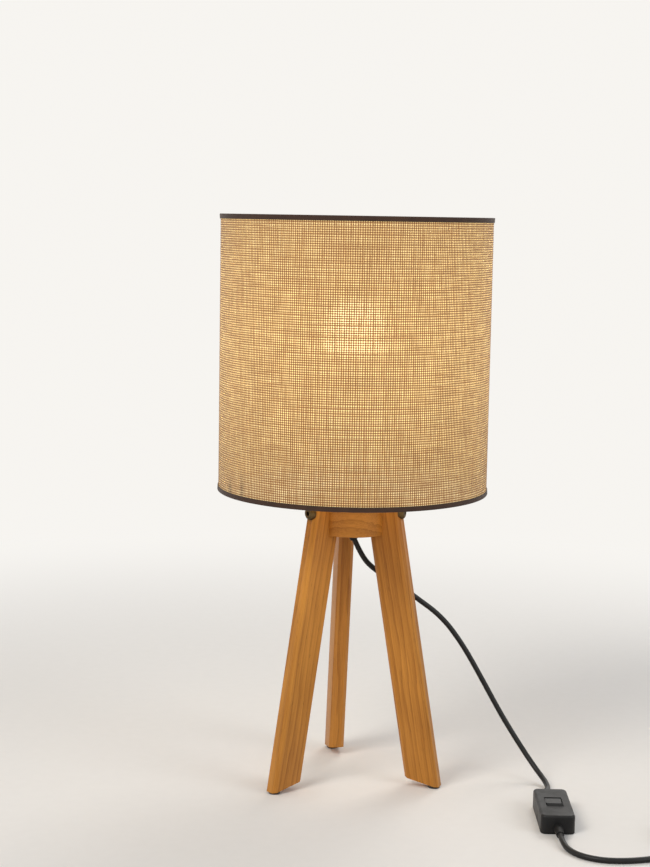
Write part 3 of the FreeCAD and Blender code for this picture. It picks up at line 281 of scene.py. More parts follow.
def apply_finish(tree, shader, finish, strength, distance):
    """Wires a finish's colour, roughness and height to the shader."""
    tree.links.new(finish["Color"], shader.inputs["Base Color"])
    tree.links.new(finish["Roughness"], shader.inputs["Roughness"])
    add_relief(tree, shader, finish["Height"], strength, distance)


def wood_group():
    """Grain along Z: growth bands, fine fibres and short dark pores."""
    group, given, out = new_group(
        "straight_grain",
        [("Vector", "Vector", None), ("Light", "Color", WOOD_LIGHT), ("Dark", "Color", WOOD_DARK),
         ("Pore", "Color", PORE_COLOUR), ("Band", "Float", 0.006), ("Offset", "Float", 0.0)],
        [("Color", "Color"), ("Roughness", "Float"), ("Height", "Float")])
    shift = add(group, "ShaderNodeCombineXYZ", {0: given["Offset"], 1: given["Offset"], 2: given["Offset"]})
    moved = add(group, "ShaderNodeVectorMath", {0: given["Vector"], 1: shift.outputs[0]}, operation="ADD")
    moved = moved.outputs[0]
    wander = noise(group, stretched(group, moved, WANDER_GRAIN), scale=1.0, detail=3.0, roughness=0.55)
    fibre = noise(group, stretched(group, moved, FIBRE_GRAIN), scale=1.0, detail=5.0, roughness=0.62)
    cloud = noise(group, stretched(group, moved, CLOUD_GRAIN), scale=1.0, detail=2.0)
    pore = noise(group, stretched(group, moved, PORE_GRAIN), scale=1.0, detail=1.0)

    axes = add(group, "ShaderNodeSeparateXYZ", {0: moved}).outputs
    across = math_node(group, "MULTIPLY_ADD", axes[1], RING_SLANT, axes[0])
    across = math_node(group, "DIVIDE", across, given["Band"])
    across = math_node(group, "MULTIPLY_ADD", wander, RING_WANDER, across)
    ring = math_node(group, "FRACT", across)
    late = math_node(group, "POWER", ring, LATE_WOOD)
    drop = math_node(group, "SUBTRACT", 1.0, spread(group, ring, 0.93, 1.0))
    band = math_node(group, "MULTIPLY", late, drop)
    dash = spread(group, pore, 0.66, 0.74)
    dash = math_node(group, "MULTIPLY", dash, spread(group, band, 0.0, 0.5, 0.25, 1.0))

    tone = math_node(group, "MULTIPLY", band, RING_SHARE)
    tone = math_node(group, "MULTIPLY_ADD", fibre, FIBRE_SHARE, tone)
    tone = math_node(group, "MULTIPLY_ADD", cloud, CLOUD_SHARE, tone)
    tone = spread(group, tone, 0.42, 1.02)
    colour = mix_colour(group, tone, given["Light"], given["Dark"])
    colour = mix_colour(group, math_node(group, "MULTIPLY", dash, PORE_SHARE), colour, given["Pore"])
    group.links.new(colour, out["Color"])
    rough = math_node(group, "MULTIPLY_ADD", fibre, 0.16, spread(group, dash, 0, 1, 0.38, 0.62))
    group.links.new(rough, out["Roughness"])
    height = math_node(group, "MULTIPLY_ADD", dash, -0.8, math_node(group, "MULTIPLY", fibre, 0.35))
    group.links.new(height, out["Height"])
    return group


STRAIGHT_GRAIN = wood_group()


def wood_material(name, turns, offset, band):
    """Oiled wood. Each turn is a rotation in degrees; together they bring the grain to Z."""
    material, tree, shader = new_material(name, specular_ior_level=0.28)
    vector = own_place(tree)
    for angles in turns:
        rotation = tuple(math.radians(angle) for angle in angles)
        vector = add(tree, "ShaderNodeMapping", {"Vector": vector, "Rotation": rotation}).outputs[0]
    grain = use_group(tree, STRAIGHT_GRAIN, {"Vector": vector, "Offset": offset, "Band": band})
    apply_finish(tree, shader, grain, strength=0.35, distance=0.00025)
    return material


def eased_copy(node, radius, sharpest=ARRIS_ANGLE):
    """A copy of a CAD node with its arrises rounded."""
    mesh = nodes[node].data.copy()
    mesh.materials.clear()
    work = bmesh.new()
    work.from_mesh(mesh)
    bmesh.ops.remove_doubles(work, verts=work.verts, dist=WELD)
    bmesh.ops.dissolve_limit(work, angle_limit=math.radians(FLAT_ANGLE), verts=work.verts, edges=work.edges)
    arrises = [e for e in work.edges if e.is_manifold and e.calc_face_angle(0) > math.radians(sharpest)]
    bmesh.ops.bevel(work, geom=arrises, offset=radius, segments=2, profile=0.5, affect="EDGES",
                    clamp_overlap=True)
    bmesh.ops.triangulate(work, faces=[f for f in work.faces if len(f.verts) > 4])
    work.to_mesh(mesh)
    work.free()
    mesh.name = node + "_eased"
    mesh.shade_smooth()
    mesh.set_sharp_from_angle(angle=math.radians(SMOOTH_ANGLE))
    return new_object(node + "_eased", mesh)


for number, (leg, azimuth) in enumerate(LEG_TURNS.items()):
    piece = eased_copy(leg, LEG_EASE)
    grain_turns = [(0, 0, -azimuth), (0, LEG_LEAN, 0)]
    board = LEG_STEP * number + LEG_START
    piece.data.materials.append(wood_material("oiled_wood_" + leg, grain_turns, board, LEG_BAND))
    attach(piece, "tripod")
    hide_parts(leg)

hub_piece = eased_copy("hub", HUB_EASE)
hub_piece.data.materials.append(wood_material("oiled_wood_hub", [(0, 90, 0)], HUB_START, HUB_BAND))
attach(hub_piece, "tripod")
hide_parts("hub")


# ---------------------------------------------------------------- metal fittings
# Bronzed furniture bolts, zinc-plated lamp hardware and brass contacts. Turned
# or pressed parts, with fine marks from the tool and a little tarnish.

METALS = {                    # clean and tarnished colour, share of tarnish, roughness
    "bronzed_steel": ((0.16, 0.105, 0.045, 1), (0.05, 0.034, 0.018, 1), 0.8, 0.34),
    "zinc_plate": ((0.62, 0.62, 0.60, 1), (0.36, 0.34, 0.30, 1), 0.5, 0.26),
    "machined_brass": ((0.72, 0.50, 0.20, 1), (0.34, 0.20, 0.07, 1), 0.6, 0.24),
    "nickel_plate": ((0.66, 0.63, 0.58, 1), (0.40, 0.36, 0.30, 1), 0.35, 0.16),
}
TOOL_MARKS = (300, 300, 9000)    # to a metre


def metal_group():
    """Fine turning marks and soft tarnish on a metal's own colour."""
    group, given, out = new_group(
        "worked_metal",
        [("Vector", "Vector", None), ("Clean", "Color", (0.7, 0.7, 0.7, 1)),
         ("Tarnish", "Color", (0.3, 0.3, 0.3, 1)), ("Amount", "Float", 0.4), ("Smooth", "Float", 0.25)],
        [("Color", "Color"), ("Roughness", "Float"), ("Height", "Float")])
    marks = noise(group, stretched(group, given["Vector"], TOOL_MARKS), scale=1.0, detail=3.0)
    patch = noise(group, given["Vector"], scale=160.0, detail=5.0, roughness=0.65)
    stain = math_node(group, "MULTIPLY", spread(group, patch, 0.42, 0.72), given["Amount"])
    group.links.new(mix_colour(group, stain, given["Clean"], given["Tarnish"]), out["Color"])
    rough = math_node(group, "MULTIPLY_ADD", stain, 0.35, given["Smooth"])
    group.links.new(math_node(group, "MULTIPLY_ADD", marks, 0.12, rough), out["Roughness"])
    group.links.new(marks, out["Height"])
    return group


WORKED_METAL = metal_group()


def metal_material(name):
    clean, tarnish, amount, smooth = METALS[name]
    material, tree, shader = new_material(name, metallic=1.0)
    finish = use_group(tree, WORKED_METAL, {"Vector": own_place(tree), "Clean": clean, "Tarnish": tarnish,
                                            "Amount": amount, "Smooth": smooth})
    apply_finish(tree, shader, finish, strength=0.15, distance=0.00005)
    return material


def dress(material, *names):
    """Gives CAD nodes, which stay as they are, their finish."""
    for name in names:
        mesh = nodes[name].data
        mesh.materials.clear()
        mesh.materials.append(material)


dress(metal_material("bronzed_steel"), "leg_bolts")
dress(metal_material("zinc_plate"), "threaded_tube", "tube_nut", "tube_washer", "seat_plate", "riser_tube",
      "rocker_pin", "switch_screws", "bulb_tip")
dress(metal_material("machined_brass"), "leg_inserts", "terminal_screws", "screw_shell", "centre_contact",
      "switch_contacts")
dress(metal_material("nickel_plate"), "bulb_cap", "plug_pins")


# ---------------------------------------------------------------- foot pads
# Dark pressed felt, punched out in rounds and glued under each mitred foot, so
# that the lamp stands softly.

FELT_DARK = (0.006, 0.005, 0.004, 1)
FELT_LIGHT = (0.034, 0.027, 0.021, 1)


def felt_material():
    material, tree, shader = new_material("pressed_felt", roughness=0.96, sheen_weight=0.35,
                                          sheen_roughness=0.6)
    fuzz = noise(tree, own_place(tree), scale=2600.0, detail=6.0, roughness=0.75)
    tree.links.new(mix_colour(tree, fuzz, FELT_DARK, FELT_LIGHT), shader.inputs["Base Color"])
    add_relief(tree, shader, fuzz, strength=0.8, distance=0.0004)
    return material


dress(felt_material(), "foot_pads")


# ---------------------------------------------------------------- lampholder
# Moulded off-white plastic with a satin skin: lower cap, threaded skirt and
# ring nut. The contacts sit in an unglazed ceramic disc inside.

PLASTIC_WHITE = (0.78, 0.755, 0.69, 1)
PLASTIC_WORN = (0.68, 0.64, 0.56, 1)
CERAMIC_WHITE = (0.80, 0.77, 0.72, 1)
CERAMIC_WORN = (0.66, 0.62, 0.55, 1)


def mould_group():
    """The skin of a moulded plastic or rubber part: fine orange peel and handling marks."""
    group, given, out = new_group(
        "moulded_skin",
        [("Vector", "Vector", None), ("Base", "Color", (0.5, 0.5, 0.5, 1)),
         ("Worn", "Color", (0.4, 0.4, 0.4, 1)), ("Grain", "Float", 1800.0), ("Smooth", "Float", 0.4)],
        [("Color", "Color"), ("Roughness", "Float"), ("Height", "Float")])
    peel = noise(group, given["Vector"], scale=given["Grain"], detail=2.0)
    marks = noise(group, given["Vector"], scale=70.0, detail=5.0, roughness=0.6)
    worn = spread(group, marks, 0.45, 0.75)
    group.links.new(mix_colour(group, worn, given["Base"], given["Worn"]), out["Color"])
    rough = math_node(group, "MULTIPLY_ADD", worn, 0.18, given["Smooth"])
    group.links.new(math_node(group, "MULTIPLY_ADD", peel, 0.08, rough), out["Roughness"])
    group.links.new(peel, out["Height"])
    return group


MOULDED_SKIN = mould_group()


def moulded_material(name, base, worn, smooth, grain=1800.0, relief=0.12, **values):
    material, tree, shader = new_material(name, **values)
    skin = use_group(tree, MOULDED_SKIN, {"Vector": own_place(tree), "Base": base, "Worn": worn,
                                          "Smooth": smooth, "Grain": grain})
    apply_finish(tree, shader, skin, strength=relief, distance=0.0002)
    return material


dress(moulded_material("holder_plastic", PLASTIC_WHITE, PLASTIC_WORN, smooth=0.36),
      "holder_cap", "holder_skirt", "shade_ring")
dress(moulded_material("contact_ceramic", CERAMIC_WHITE, CERAMIC_WORN, smooth=0.62, grain=900.0, relief=0.3),
      "contact_puck")


# ---------------------------------------------------------------- bulb
# A frosted LED bulb, switched on: a warm glowing globe on a white plastic
# body, with a nickel screw cap, a black insulator and a solder tip.

GLOBE_LOW = (1.0, 0.76, 0.48, 1)
GLOBE_HIGH = (1.0, 0.86, 0.64, 1)
GLOBE_STRENGTH = 5.0
FROST_DARK = (0.86, 0.83, 0.78, 1)
FROST_LIGHT = (0.92, 0.90, 0.86, 1)
BODY_WHITE = (0.83, 0.82, 0.79, 1)
BODY_WORN = (0.74, 0.72, 0.68, 1)
INSULATOR_BLACK = (0.012, 0.012, 0.013, 1)
INSULATOR_WORN = (0.022, 0.021, 0.02, 1)


def globe_material():
    material, tree, shader = new_material("frosted_globe", roughness=0.45, emission_strength=GLOBE_STRENGTH)
    place = own_place(tree)
    frost = noise(tree, place, scale=900.0, detail=3.0)
    tree.links.new(mix_colour(tree, frost, FROST_DARK, FROST_LIGHT), shader.inputs["Base Color"])
    height = add(tree, "ShaderNodeSeparateXYZ", {0: place}).outputs[2]
    low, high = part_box("bulb_globe")
    rise = spread(tree, height, low.z, high.z)
    tree.links.new(mix_colour(tree, rise, GLOBE_LOW, GLOBE_HIGH), shader.inputs["Emission Color"])
    return material


dress(globe_material(), "bulb_globe")
dress(moulded_material("bulb_plastic", BODY_WHITE, BODY_WORN, smooth=0.22), "bulb_body", "led_plate")
dress(moulded_material("insulator", INSULATOR_BLACK, INSULATOR_WORN, smooth=0.15), "bulb_insulator")


# ---------------------------------------------------------------- shade frame
# Steel wire, welded and powder coated white: a lower ring with three arms and
# the fitter ring, and a plain upper ring, both hidden in the folded edging.

POWDER_WHITE = (0.80, 0.79, 0.75, 1)
POWDER_WORN = (0.70, 0.68, 0.63, 1)

dress(moulded_material("powder_coat", POWDER_WHITE, POWDER_WORN, smooth=0.42, grain=2600.0, relief=0.35),
      "shade_spider", "top_wire")


# ---------------------------------------------------------------- shade liner
# A translucent white laminate, rolled into a drum. The lit bulb behind it makes
# it glow, most at the bulb's height.

LINER_GLOW = (0.73, 0.585, 0.27, 1)
LINER_INSIDE = (0.20, 0.135, 0.050, 1)    # its inner face is lit by the bulb itself
LINER_STRENGTH = 1.0
LINER_DARK = (0.66, 0.58, 0.43, 1)
LINER_LIGHT = (0.72, 0.65, 0.51, 1)
LINER_WALL = 0.0005
LINER_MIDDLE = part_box("shade_liner")[1].x - LINER_WALL / 2
BULB_RISE = 0.02              # the bulb's brightest height, above the globe's foot
BULB_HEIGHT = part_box("bulb_globe")[0].z + BULB_RISE
GLOW_REACH = 0.17             # this far above or below, the glow is halved
UNLIT = (0, 0, 0, 1)


def glow_group():
    """How brightly the lit bulb shows through at a height: full beside it, less at the rims."""
    group, given, out = new_group("bulb_glow", [("Vector", "Vector", None), ("Reach", "Float", GLOW_REACH)],
                                  [("Glow", "Float")])
    height = add(group, "ShaderNodeSeparateXYZ", {0: given["Vector"]}).outputs[2]
    away = math_node(group, "DIVIDE", math_node(group, "SUBTRACT", height, BULB_HEIGHT), given["Reach"])
    fade = math_node(group, "ADD", 1.0, math_node(group, "MULTIPLY", away, away))
    group.links.new(math_node(group, "DIVIDE", 1.0, fade), out["Glow"])
    return group


BULB_GLOW = glow_group()


def liner_material():
    material, tree, shader = new_material("lit_laminate", roughness=0.5, emission_strength=LINER_STRENGTH,
                                          transmission_weight=0.55, ior=1.08)
    place = own_place(tree)
    glow = use_group(tree, BULB_GLOW, {"Vector": place})["Glow"]
    mottle = noise(tree, place, scale=60.0, detail=4.0)
    lit = math_node(tree, "MULTIPLY", glow, spread(tree, mottle, 0.3, 0.7, 0.93, 1.07))
    axes = add(tree, "ShaderNodeSeparateXYZ", {0: place}).outputs
    flat = add(tree, "ShaderNodeCombineXYZ", {0: axes[0], 1: axes[1]}).outputs[0]
    radius = add(tree, "ShaderNodeVectorMath", {0: flat}, operation="LENGTH").outputs["Value"]
    outside = math_node(tree, "GREATER_THAN", radius, LINER_MIDDLE)
    face = mix_colour(tree, outside, LINER_INSIDE, LINER_GLOW)
    tree.links.new(mix_colour(tree, lit, UNLIT, face), shader.inputs["Emission Color"])
    tree.links.new(mix_colour(tree, mottle, LINER_DARK, LINER_LIGHT), shader.inputs["Base Color"])
    return material


dress(liner_material(), "shade_liner")


# ---------------------------------------------------------------- shade fabric
# An open plain weave of loosely spun natural yarns, stretched round the liner and
# glued to it. Light comes through the gaps, less through one yarn, least through two.

WARP_COUNT = 384              # upright yarns round the drum
WEFT_COUNT = 124              # level yarns from rim to rim
YARN_SHARE = 0.54             # a yarn's width, as a share of the spacing
YARN_SWAY = 0.00016           # how far a yarn swings out and in
YARN_THINNEST = 0.25          # its width where it is thinnest, as a share of the usual
YARN_SWELL = 1.5              # and how much thicker it can get
YARN_STRAY = 0.45             # how far it strays sideways, as a share of the spacing
SLUB_ROUND = 9.0              # how quickly a level yarn's width changes round the drum
SLUB_UP = 0.11                # and an upright yarn's from one crossing to the next
SLUB_ROWS = 1.7               # and from one yarn to the next
SLUB_SCALE = 0.9
GAP_FROM = 1.2                # of each two rows of faces, those past this are cut away
ROUNDING = 0.01               # keeps a whole row number from falling to the one below
FABRIC_SEED = 7

YARN_DARK = (0.27, 0.145, 0.052, 1)
YARN_LIGHT = (0.48, 0.30, 0.135, 1)
# painted shade: the yarns' colour where two cross, darker than one yarn
YARN_CROSSING_SHADE = (0.19, 0.066, 0.022, 1)
YARN_LIT = (0.355, 0.205, 0.068, 1)       # with the light behind it
YARN_CROSSED = (0.125, 0.036, 0.008, 1)   # the same, where two cross
MARKS = ((-0.0985, -0.077, 0.0023, 0.026), (-0.110, -0.059, 0.0030, 0.020))   # x, y, half width, height
MARK_COLOUR = (0.10, 0.040, 0.014, 1)
MARK_STRENGTH = 0.62
MARK_RAGGED = 0.003           # how far a mark's edge wanders, metres
MARK_FADE = 0.0045            # and how softly it ends
MARK_SOLID = 0.4              # share of its height in which it is full

fabric_low, fabric_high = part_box("shade_fabric")
FABRIC_RADIUS = fabric_high.x


def weave_tree(material):
    """Geometry Nodes: two sets of ribbons that pass over and under each other."""
    tree = bpy.data.node_groups.new("open_plain_weave", "GeometryNodeTree")
    sizes = (("Radius", "Float", 0.1), ("Bottom", "Float", 0.0), ("Height", "Float", 0.1),
             ("Warp Yarns", "Int", 8), ("Weft Yarns", "Int", 8), ("Yarn Share", "Float", 0.5),
             ("Sway", "Float", 0.0001), ("Seed", "Int", 0))
    for label, kind, value in sizes:
        socket = tree.interface.new_socket(label, in_out="INPUT", socket_type="NodeSocket" + kind)
        socket.default_value = value
    tree.interface.new_socket("Geometry", in_out="OUTPUT", socket_type="NodeSocketGeometry")
    given = add(tree, "NodeGroupInput").outputs

    def calc(operation, *values):
        return math_node(tree, operation, *values)

    spacing = calc("DIVIDE", given["Height"], given["Weft Yarns"])
    step = calc("DIVIDE", 2 * math.pi, given["Warp Yarns"])

    def ribbons(along_count, ribbon_count, upright):
        """A flat grid whose every second row of faces is cut away, rolled into the drum."""
        edges = calc("MULTIPLY", ribbon_count, 2.0)
        long_side = calc("SUBTRACT", along_count, 1.0)
        short_side = calc("SUBTRACT", edges, 1.0)
        grid = add(tree, "GeometryNodeMeshGrid", {"Size X": long_side, "Size Y": short_side,
                                                  "Vertices X": along_count, "Vertices Y": edges})
        spot = add(tree, "GeometryNodeInputPosition").outputs[0]
        spot = add(tree, "ShaderNodeSeparateXYZ", {0: spot}).outputs
        x = calc("ADD", spot[0], calc("DIVIDE", long_side, 2.0))
        y = calc("ADD", spot[1], calc("DIVIDE", short_side, 2.0))
        gap = calc("GREATER_THAN", calc("MODULO", y, 2.0), GAP_FROM)
        along = calc("ROUND", x)
        row = calc("FLOOR", calc("DIVIDE", calc("ADD", y, ROUNDING), 2.0))
        side = calc("SUBTRACT", y, calc("MULTIPLY", row, 2.0))
        side = calc("SUBTRACT", calc("MULTIPLY", side, 2.0), 1.0)

        yarn = add(tree, "ShaderNodeCombineXYZ", {0: x, 1: calc("MULTIPLY_ADD", side, 0.5, row)})
        marked = add(tree, "GeometryNodeStoreNamedAttribute",
                     {"Geometry": grid.outputs[0], "Name": "yarn", "Value": yarn.outputs[0]},
                     data_type="FLOAT2", domain="CORNER")
        cut = add(tree, "GeometryNodeDeleteGeometry", {"Geometry": marked.outputs[0], "Selection": gap},
                  domain="FACE")

        if upright:
            stretch = calc("MULTIPLY", along, SLUB_UP)
        else:
            stretch = calc("MULTIPLY", calc("SINE", calc("MULTIPLY", along, step)), SLUB_ROUND)
        near = add(tree, "ShaderNodeCombineXYZ",
                   {0: stretch, 1: calc("MULTIPLY", row, SLUB_ROWS), 2: given["Seed"]})
        slub = noise(tree, near.outputs[0], scale=SLUB_SCALE, detail=1.0)
        width = calc("MULTIPLY_ADD", slub, YARN_SWELL, YARN_THINNEST)
        width = calc("MULTIPLY", given["Yarn Share"], width)
        stray = calc("MULTIPLY", calc("SUBTRACT", slub, 0.5), YARN_STRAY)
        off = calc("MULTIPLY_ADD", side, calc("DIVIDE", width, 2.0), stray)
        centre = calc("ADD", calc("ADD", row, off), 0.5)
        parity = calc("ADD", calc("ADD", along, row), 1.0 if upright else 0.0)
        swing = calc("MULTIPLY_ADD", calc("MODULO", parity, 2.0), 2.0, -1.0)
        out = calc("MULTIPLY_ADD", swing, given["Sway"], given["Radius"])

        length = calc("ADD", along, 0.5)
        round_it, up_it = (centre, length) if upright else (length, centre)
        angle = calc("MULTIPLY", round_it, step)
        height = calc("MULTIPLY_ADD", up_it, spacing, given["Bottom"])
        rolled_x = calc("MULTIPLY", calc("COSINE", angle), out)
        rolled_y = calc("MULTIPLY", calc("SINE", angle), out)
        place = add(tree, "ShaderNodeCombineXYZ", {0: rolled_x, 1: rolled_y, 2: height})
        rolled = add(tree, "GeometryNodeSetPosition",
                     {"Geometry": cut.outputs[0], "Position": place.outputs[0]})
        return rolled.outputs[0]

    weft = ribbons(calc("ADD", given["Warp Yarns"], 1.0), given["Weft Yarns"], False)
    weft = add(tree, "GeometryNodeMergeByDistance", {"Geometry": weft, "Distance": WELD}).outputs[0]
    warp = ribbons(given["Weft Yarns"], given["Warp Yarns"], True)
    warp = add(tree, "GeometryNodeFlipFaces", {"Mesh": warp}).outputs[0]
    joined = add(tree, "GeometryNodeJoinGeometry")
    tree.links.new(weft, joined.inputs[0])
    tree.links.new(warp, joined.inputs[0])
    smooth = add(tree, "GeometryNodeSetShadeSmooth", {"Geometry": joined.outputs[0]})
    real = add(tree, "GeometryNodeRealizeInstances", {"Geometry": smooth.outputs[0]})
    painted = add(tree, "GeometryNodeSetMaterial", {"Geometry": real.outputs[0], "Material": material})
    add(tree, "NodeGroupOutput", {"Geometry": painted.outputs[0]})
    return tree


def grown(name, tree, **values):
    """Runs a Geometry Nodes tree on an empty mesh and keeps its result as a plain mesh."""
    seedling = new_object(name + "_maker", bpy.data.meshes.new(name + "_maker"))
    modifier = seedling.modifiers.new("nodes", "NODES")
    modifier.node_group = tree
    sockets = {s.name: s.identifier for s in tree.interface.items_tree if s.in_out == "INPUT"}
    for label, value in values.items():
        modifier[sockets[label.replace("_", " ")]] = value
    bpy.context.view_layer.update()
    made = seedling.evaluated_get(bpy.context.evaluated_depsgraph_get())
    mesh = bpy.data.meshes.new_from_object(made)
    bpy.data.objects.remove(seedling)
    mesh.name = name
    return new_object(name, mesh)


def mark_mask(tree, place, ragged):
    """Faint dark marks that rise from the shade's lower edge."""
    level = add(tree, "ShaderNodeVectorMath", {0: place, 1: (1.0, 1.0, 0.0)}, operation="MULTIPLY").outputs[0]
    up = add(tree, "ShaderNodeSeparateXYZ", {0: place}).outputs[2]
    mask = 0.0
    for x, y, half_width, height in MARKS:
        away = add(tree, "ShaderNodeVectorMath", {0: level, 1: (x, y, 0.0)}, operation="DISTANCE")
        away = math_node(tree, "MULTIPLY_ADD", ragged, MARK_RAGGED, away.outputs["Value"])
        beside = spread(tree, away, half_width, half_width + MARK_FADE, 1.0, 0.0)
        below = spread(tree, up, fabric_low.z + MARK_SOLID * height, fabric_low.z + height, 1.0, 0.0)
        mask = math_node(tree, "MAXIMUM", mask, math_node(tree, "MULTIPLY", beside, below))
    return math_node(tree, "MULTIPLY", mask, MARK_STRENGTH)


def yarn_material():
    """Spun yarn, lit from behind: round, hairy and uneven, with painted shade darkening its colour where two
    cross.
    """
    material, tree, shader = new_material("spun_yarn", roughness=0.9, sheen_weight=0.25, sheen_roughness=0.5,
                                          emission_strength=1.0)
    spot = add(tree, "ShaderNodeUVMap", uv_map="yarn").outputs[0]
    axes = add(tree, "ShaderNodeSeparateXYZ", {0: spot}).outputs
    place = own_place(tree)
    along = math_node(tree, "FRACT", math_node(tree, "ADD", axes[0], 0.5))
    along = math_node(tree, "ABSOLUTE", math_node(tree, "SUBTRACT", along, 0.5))
    crossed = spread(tree, along, 0.36, 0.22)
    across = math_node(tree, "FRACT", math_node(tree, "ADD", axes[1], 0.5))
    across = math_node(tree, "SUBTRACT", across, 0.5)
    round_yarn = math_node(tree, "MULTIPLY", math_node(tree, "MULTIPLY", across, across), 4.0)
    round_yarn = math_node(tree, "SUBTRACT", 1.0, round_yarn)
    hair = noise(tree, place, scale=2300.0, detail=4.0, roughness=0.7)
    slub = noise(tree, place, scale=55.0, detail=4.0, roughness=0.6)

    yarn_tone_and_shade = mix_colour(tree, hair, YARN_DARK, YARN_LIGHT)
    # Painted shade: the base colour darkens where two yarns cross.
    yarn_tone_and_shade = mix_colour(tree, math_node(tree, "MULTIPLY", crossed, 0.8), yarn_tone_and_shade, YARN_CROSSING_SHADE)
    stain = mark_mask(tree, place, slub)
    yarn_tone_and_shade = mix_colour(tree, stain, yarn_tone_and_shade, MARK_COLOUR)
    tree.links.new(yarn_tone_and_shade, shader.inputs["Base Color"])

    glow = use_group(tree, BULB_GLOW, {"Vector": place})["Glow"]
    lit = math_node(tree, "MULTIPLY", glow, spread(tree, slub, 0.3, 0.7, 0.82, 1.12))
    lit = math_node(tree, "MULTIPLY", lit, math_node(tree, "SUBTRACT", 1.0, stain))
    lit = math_node(tree, "MULTIPLY", lit, spread(tree, round_yarn, 0.0, 1.0, 1.15, 0.85))
    shine = mix_colour(tree, crossed, YARN_LIT, YARN_CROSSED)
    tree.links.new(mix_colour(tree, lit, UNLIT, shine), shader.inputs["Emission Color"])
    rope = math_node(tree, "MULTIPLY_ADD", hair, 0.35, round_yarn)
    add_relief(tree, shader, rope, strength=0.7, distance=0.0004)
    return material


fabric = grown("shade_weave", weave_tree(yarn_material()), Radius=FABRIC_RADIUS - 2 * YARN_SWAY,
               Bottom=fabric_low.z, Height=fabric_high.z - fabric_low.z, Warp_Yarns=WARP_COUNT,
               Weft_Yarns=WEFT_COUNT, Yarn_Share=YARN_SHARE, Sway=YARN_SWAY, Seed=FABRIC_SEED)
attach(fabric, "shade")
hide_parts("shade_fabric")


# ---------------------------------------------------------------- shade edging
# Dark brown woven tape, folded over each rim wire and glued. Its ribs run
# across the tape, one for about every yarn of the fabric.

TAPE_RIBS = 360
TAPE_RIB_HEIGHT = 0.00013
TAPE_THICKNESS = 0.0006
TAPE_DEPTH_INSIDE = 0.0032    # how far it covers the shade's inner side
TAPE_CORNER = 0.0007          # radius of its folds
TAPE_CORNER_STEPS = 5
TAPE_SMOOTH_ANGLE = 50.0      # a sharper edge than this stays a line, degrees
RIM_WIRE = 0.003              # diameter
TAPE_BEHIND_WIRE = 0.00065    # from the wire to the tape's inner face
TAPE_DARK = (0.012, 0.005, 0.003, 1)
TAPE_LIGHT = (0.062, 0.026, 0.013, 1)
TAPE_FADED = (0.10, 0.045, 0.02, 1)
TAPE_THREADS = (1400, 1400, 4200)    # to a metre


def tape_material():
    material, tree, shader = new_material("woven_tape", roughness=0.88, sheen_weight=0.2, sheen_roughness=0.4)
    place = own_place(tree)
    thread = noise(tree, stretched(tree, place, TAPE_THREADS), scale=1.0, detail=3.0)
    patch = noise(tree, place, scale=90.0, detail=3.0)
    colour = mix_colour(tree, thread, TAPE_DARK, TAPE_LIGHT)
    colour = mix_colour(tree, spread(tree, patch, 0.4, 0.8, 0.0, 0.35), colour, TAPE_FADED)
    tree.links.new(colour, shader.inputs["Base Color"])
    add_relief(tree, shader, thread, strength=0.6, distance=0.0003)
    return material


WOVEN_TAPE = tape_material()


def tape_section(outer, inner, depth):
    """The folded tape's outline, as radius and distance in from the shade's rim."""
    section = [(outer - TAPE_THICKNESS, depth), (outer - TAPE_THICKNESS * 0.4, depth)]
    bends = [math.pi / 2 * k / TAPE_CORNER_STEPS for k in range(TAPE_CORNER_STEPS + 1)]
    for bend in bends:
        section.append((outer - TAPE_CORNER * (1 - math.cos(bend)), TAPE_CORNER * (1 - math.sin(bend))))
    for bend in bends:
        section.append((inner + TAPE_CORNER * (1 - math.sin(bend)), TAPE_CORNER * (1 - math.cos(bend))))
    section += [(inner, TAPE_DEPTH_INSIDE), (inner + TAPE_THICKNESS, TAPE_DEPTH_INSIDE),
                (inner + TAPE_THICKNESS, TAPE_THICKNESS), (outer - TAPE_THICKNESS, TAPE_THICKNESS)]
    return section


def make_tape(node, rim, inward):
    """The tape's section, followed round the drum, with a small rib at every second step."""
    low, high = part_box(node)
    outer = high.x - TAPE_RIB_HEIGHT
    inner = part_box("top_wire")[1].x - RIM_WIRE - TAPE_BEHIND_WIRE
    section = tape_section(outer, inner, high.z - low.z)
    count = len(section)
    last_ribbed = count - 5       # the points after it lie inside the fold
    steps = 2 * TAPE_RIBS
    points = []
    for step in range(steps):
        angle = 2 * math.pi * step / steps
        for index, (radius, inside) in enumerate(section):
            ribbed = 0 < index <= last_ribbed and radius > (outer + inner) / 2
            swell = TAPE_RIB_HEIGHT * (step % 2) if ribbed else 0.0
            points.append(((radius + swell) * math.cos(angle), (radius + swell) * math.sin(angle),
                           rim + inward * inside))
    faces = []
    for step in range(steps):
        here, after = step * count, (step + 1) % steps * count
        for k in range(count):
            up = (k + 1) % count
            faces.append((here + k, after + k, after + up, here + up))
    mesh = bpy.data.meshes.new(node + "_tape")
    mesh.from_pydata(points, [], faces)
    work = bmesh.new()
    work.from_mesh(mesh)
    bmesh.ops.recalc_face_normals(work, faces=work.faces)
    work.to_mesh(mesh)
    work.free()
    mesh.shade_smooth()
    mesh.set_sharp_from_angle(angle=math.radians(TAPE_SMOOTH_ANGLE))
    tape = new_object(node + "_tape", mesh, WOVEN_TAPE)
    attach(tape, "shade")
    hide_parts(node)


make_tape("bottom_binding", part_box("bottom_binding")[0].z, 1)
make_tape("top_binding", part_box("top_binding")[1].z, -1)


# ---------------------------------------------------------------- gland, switch and plug
# Black moulded parts on the cord: a rubber bend relief under the hub, a two-shell
# rocker switch with its own reliefs, and a flat two-pin plug.

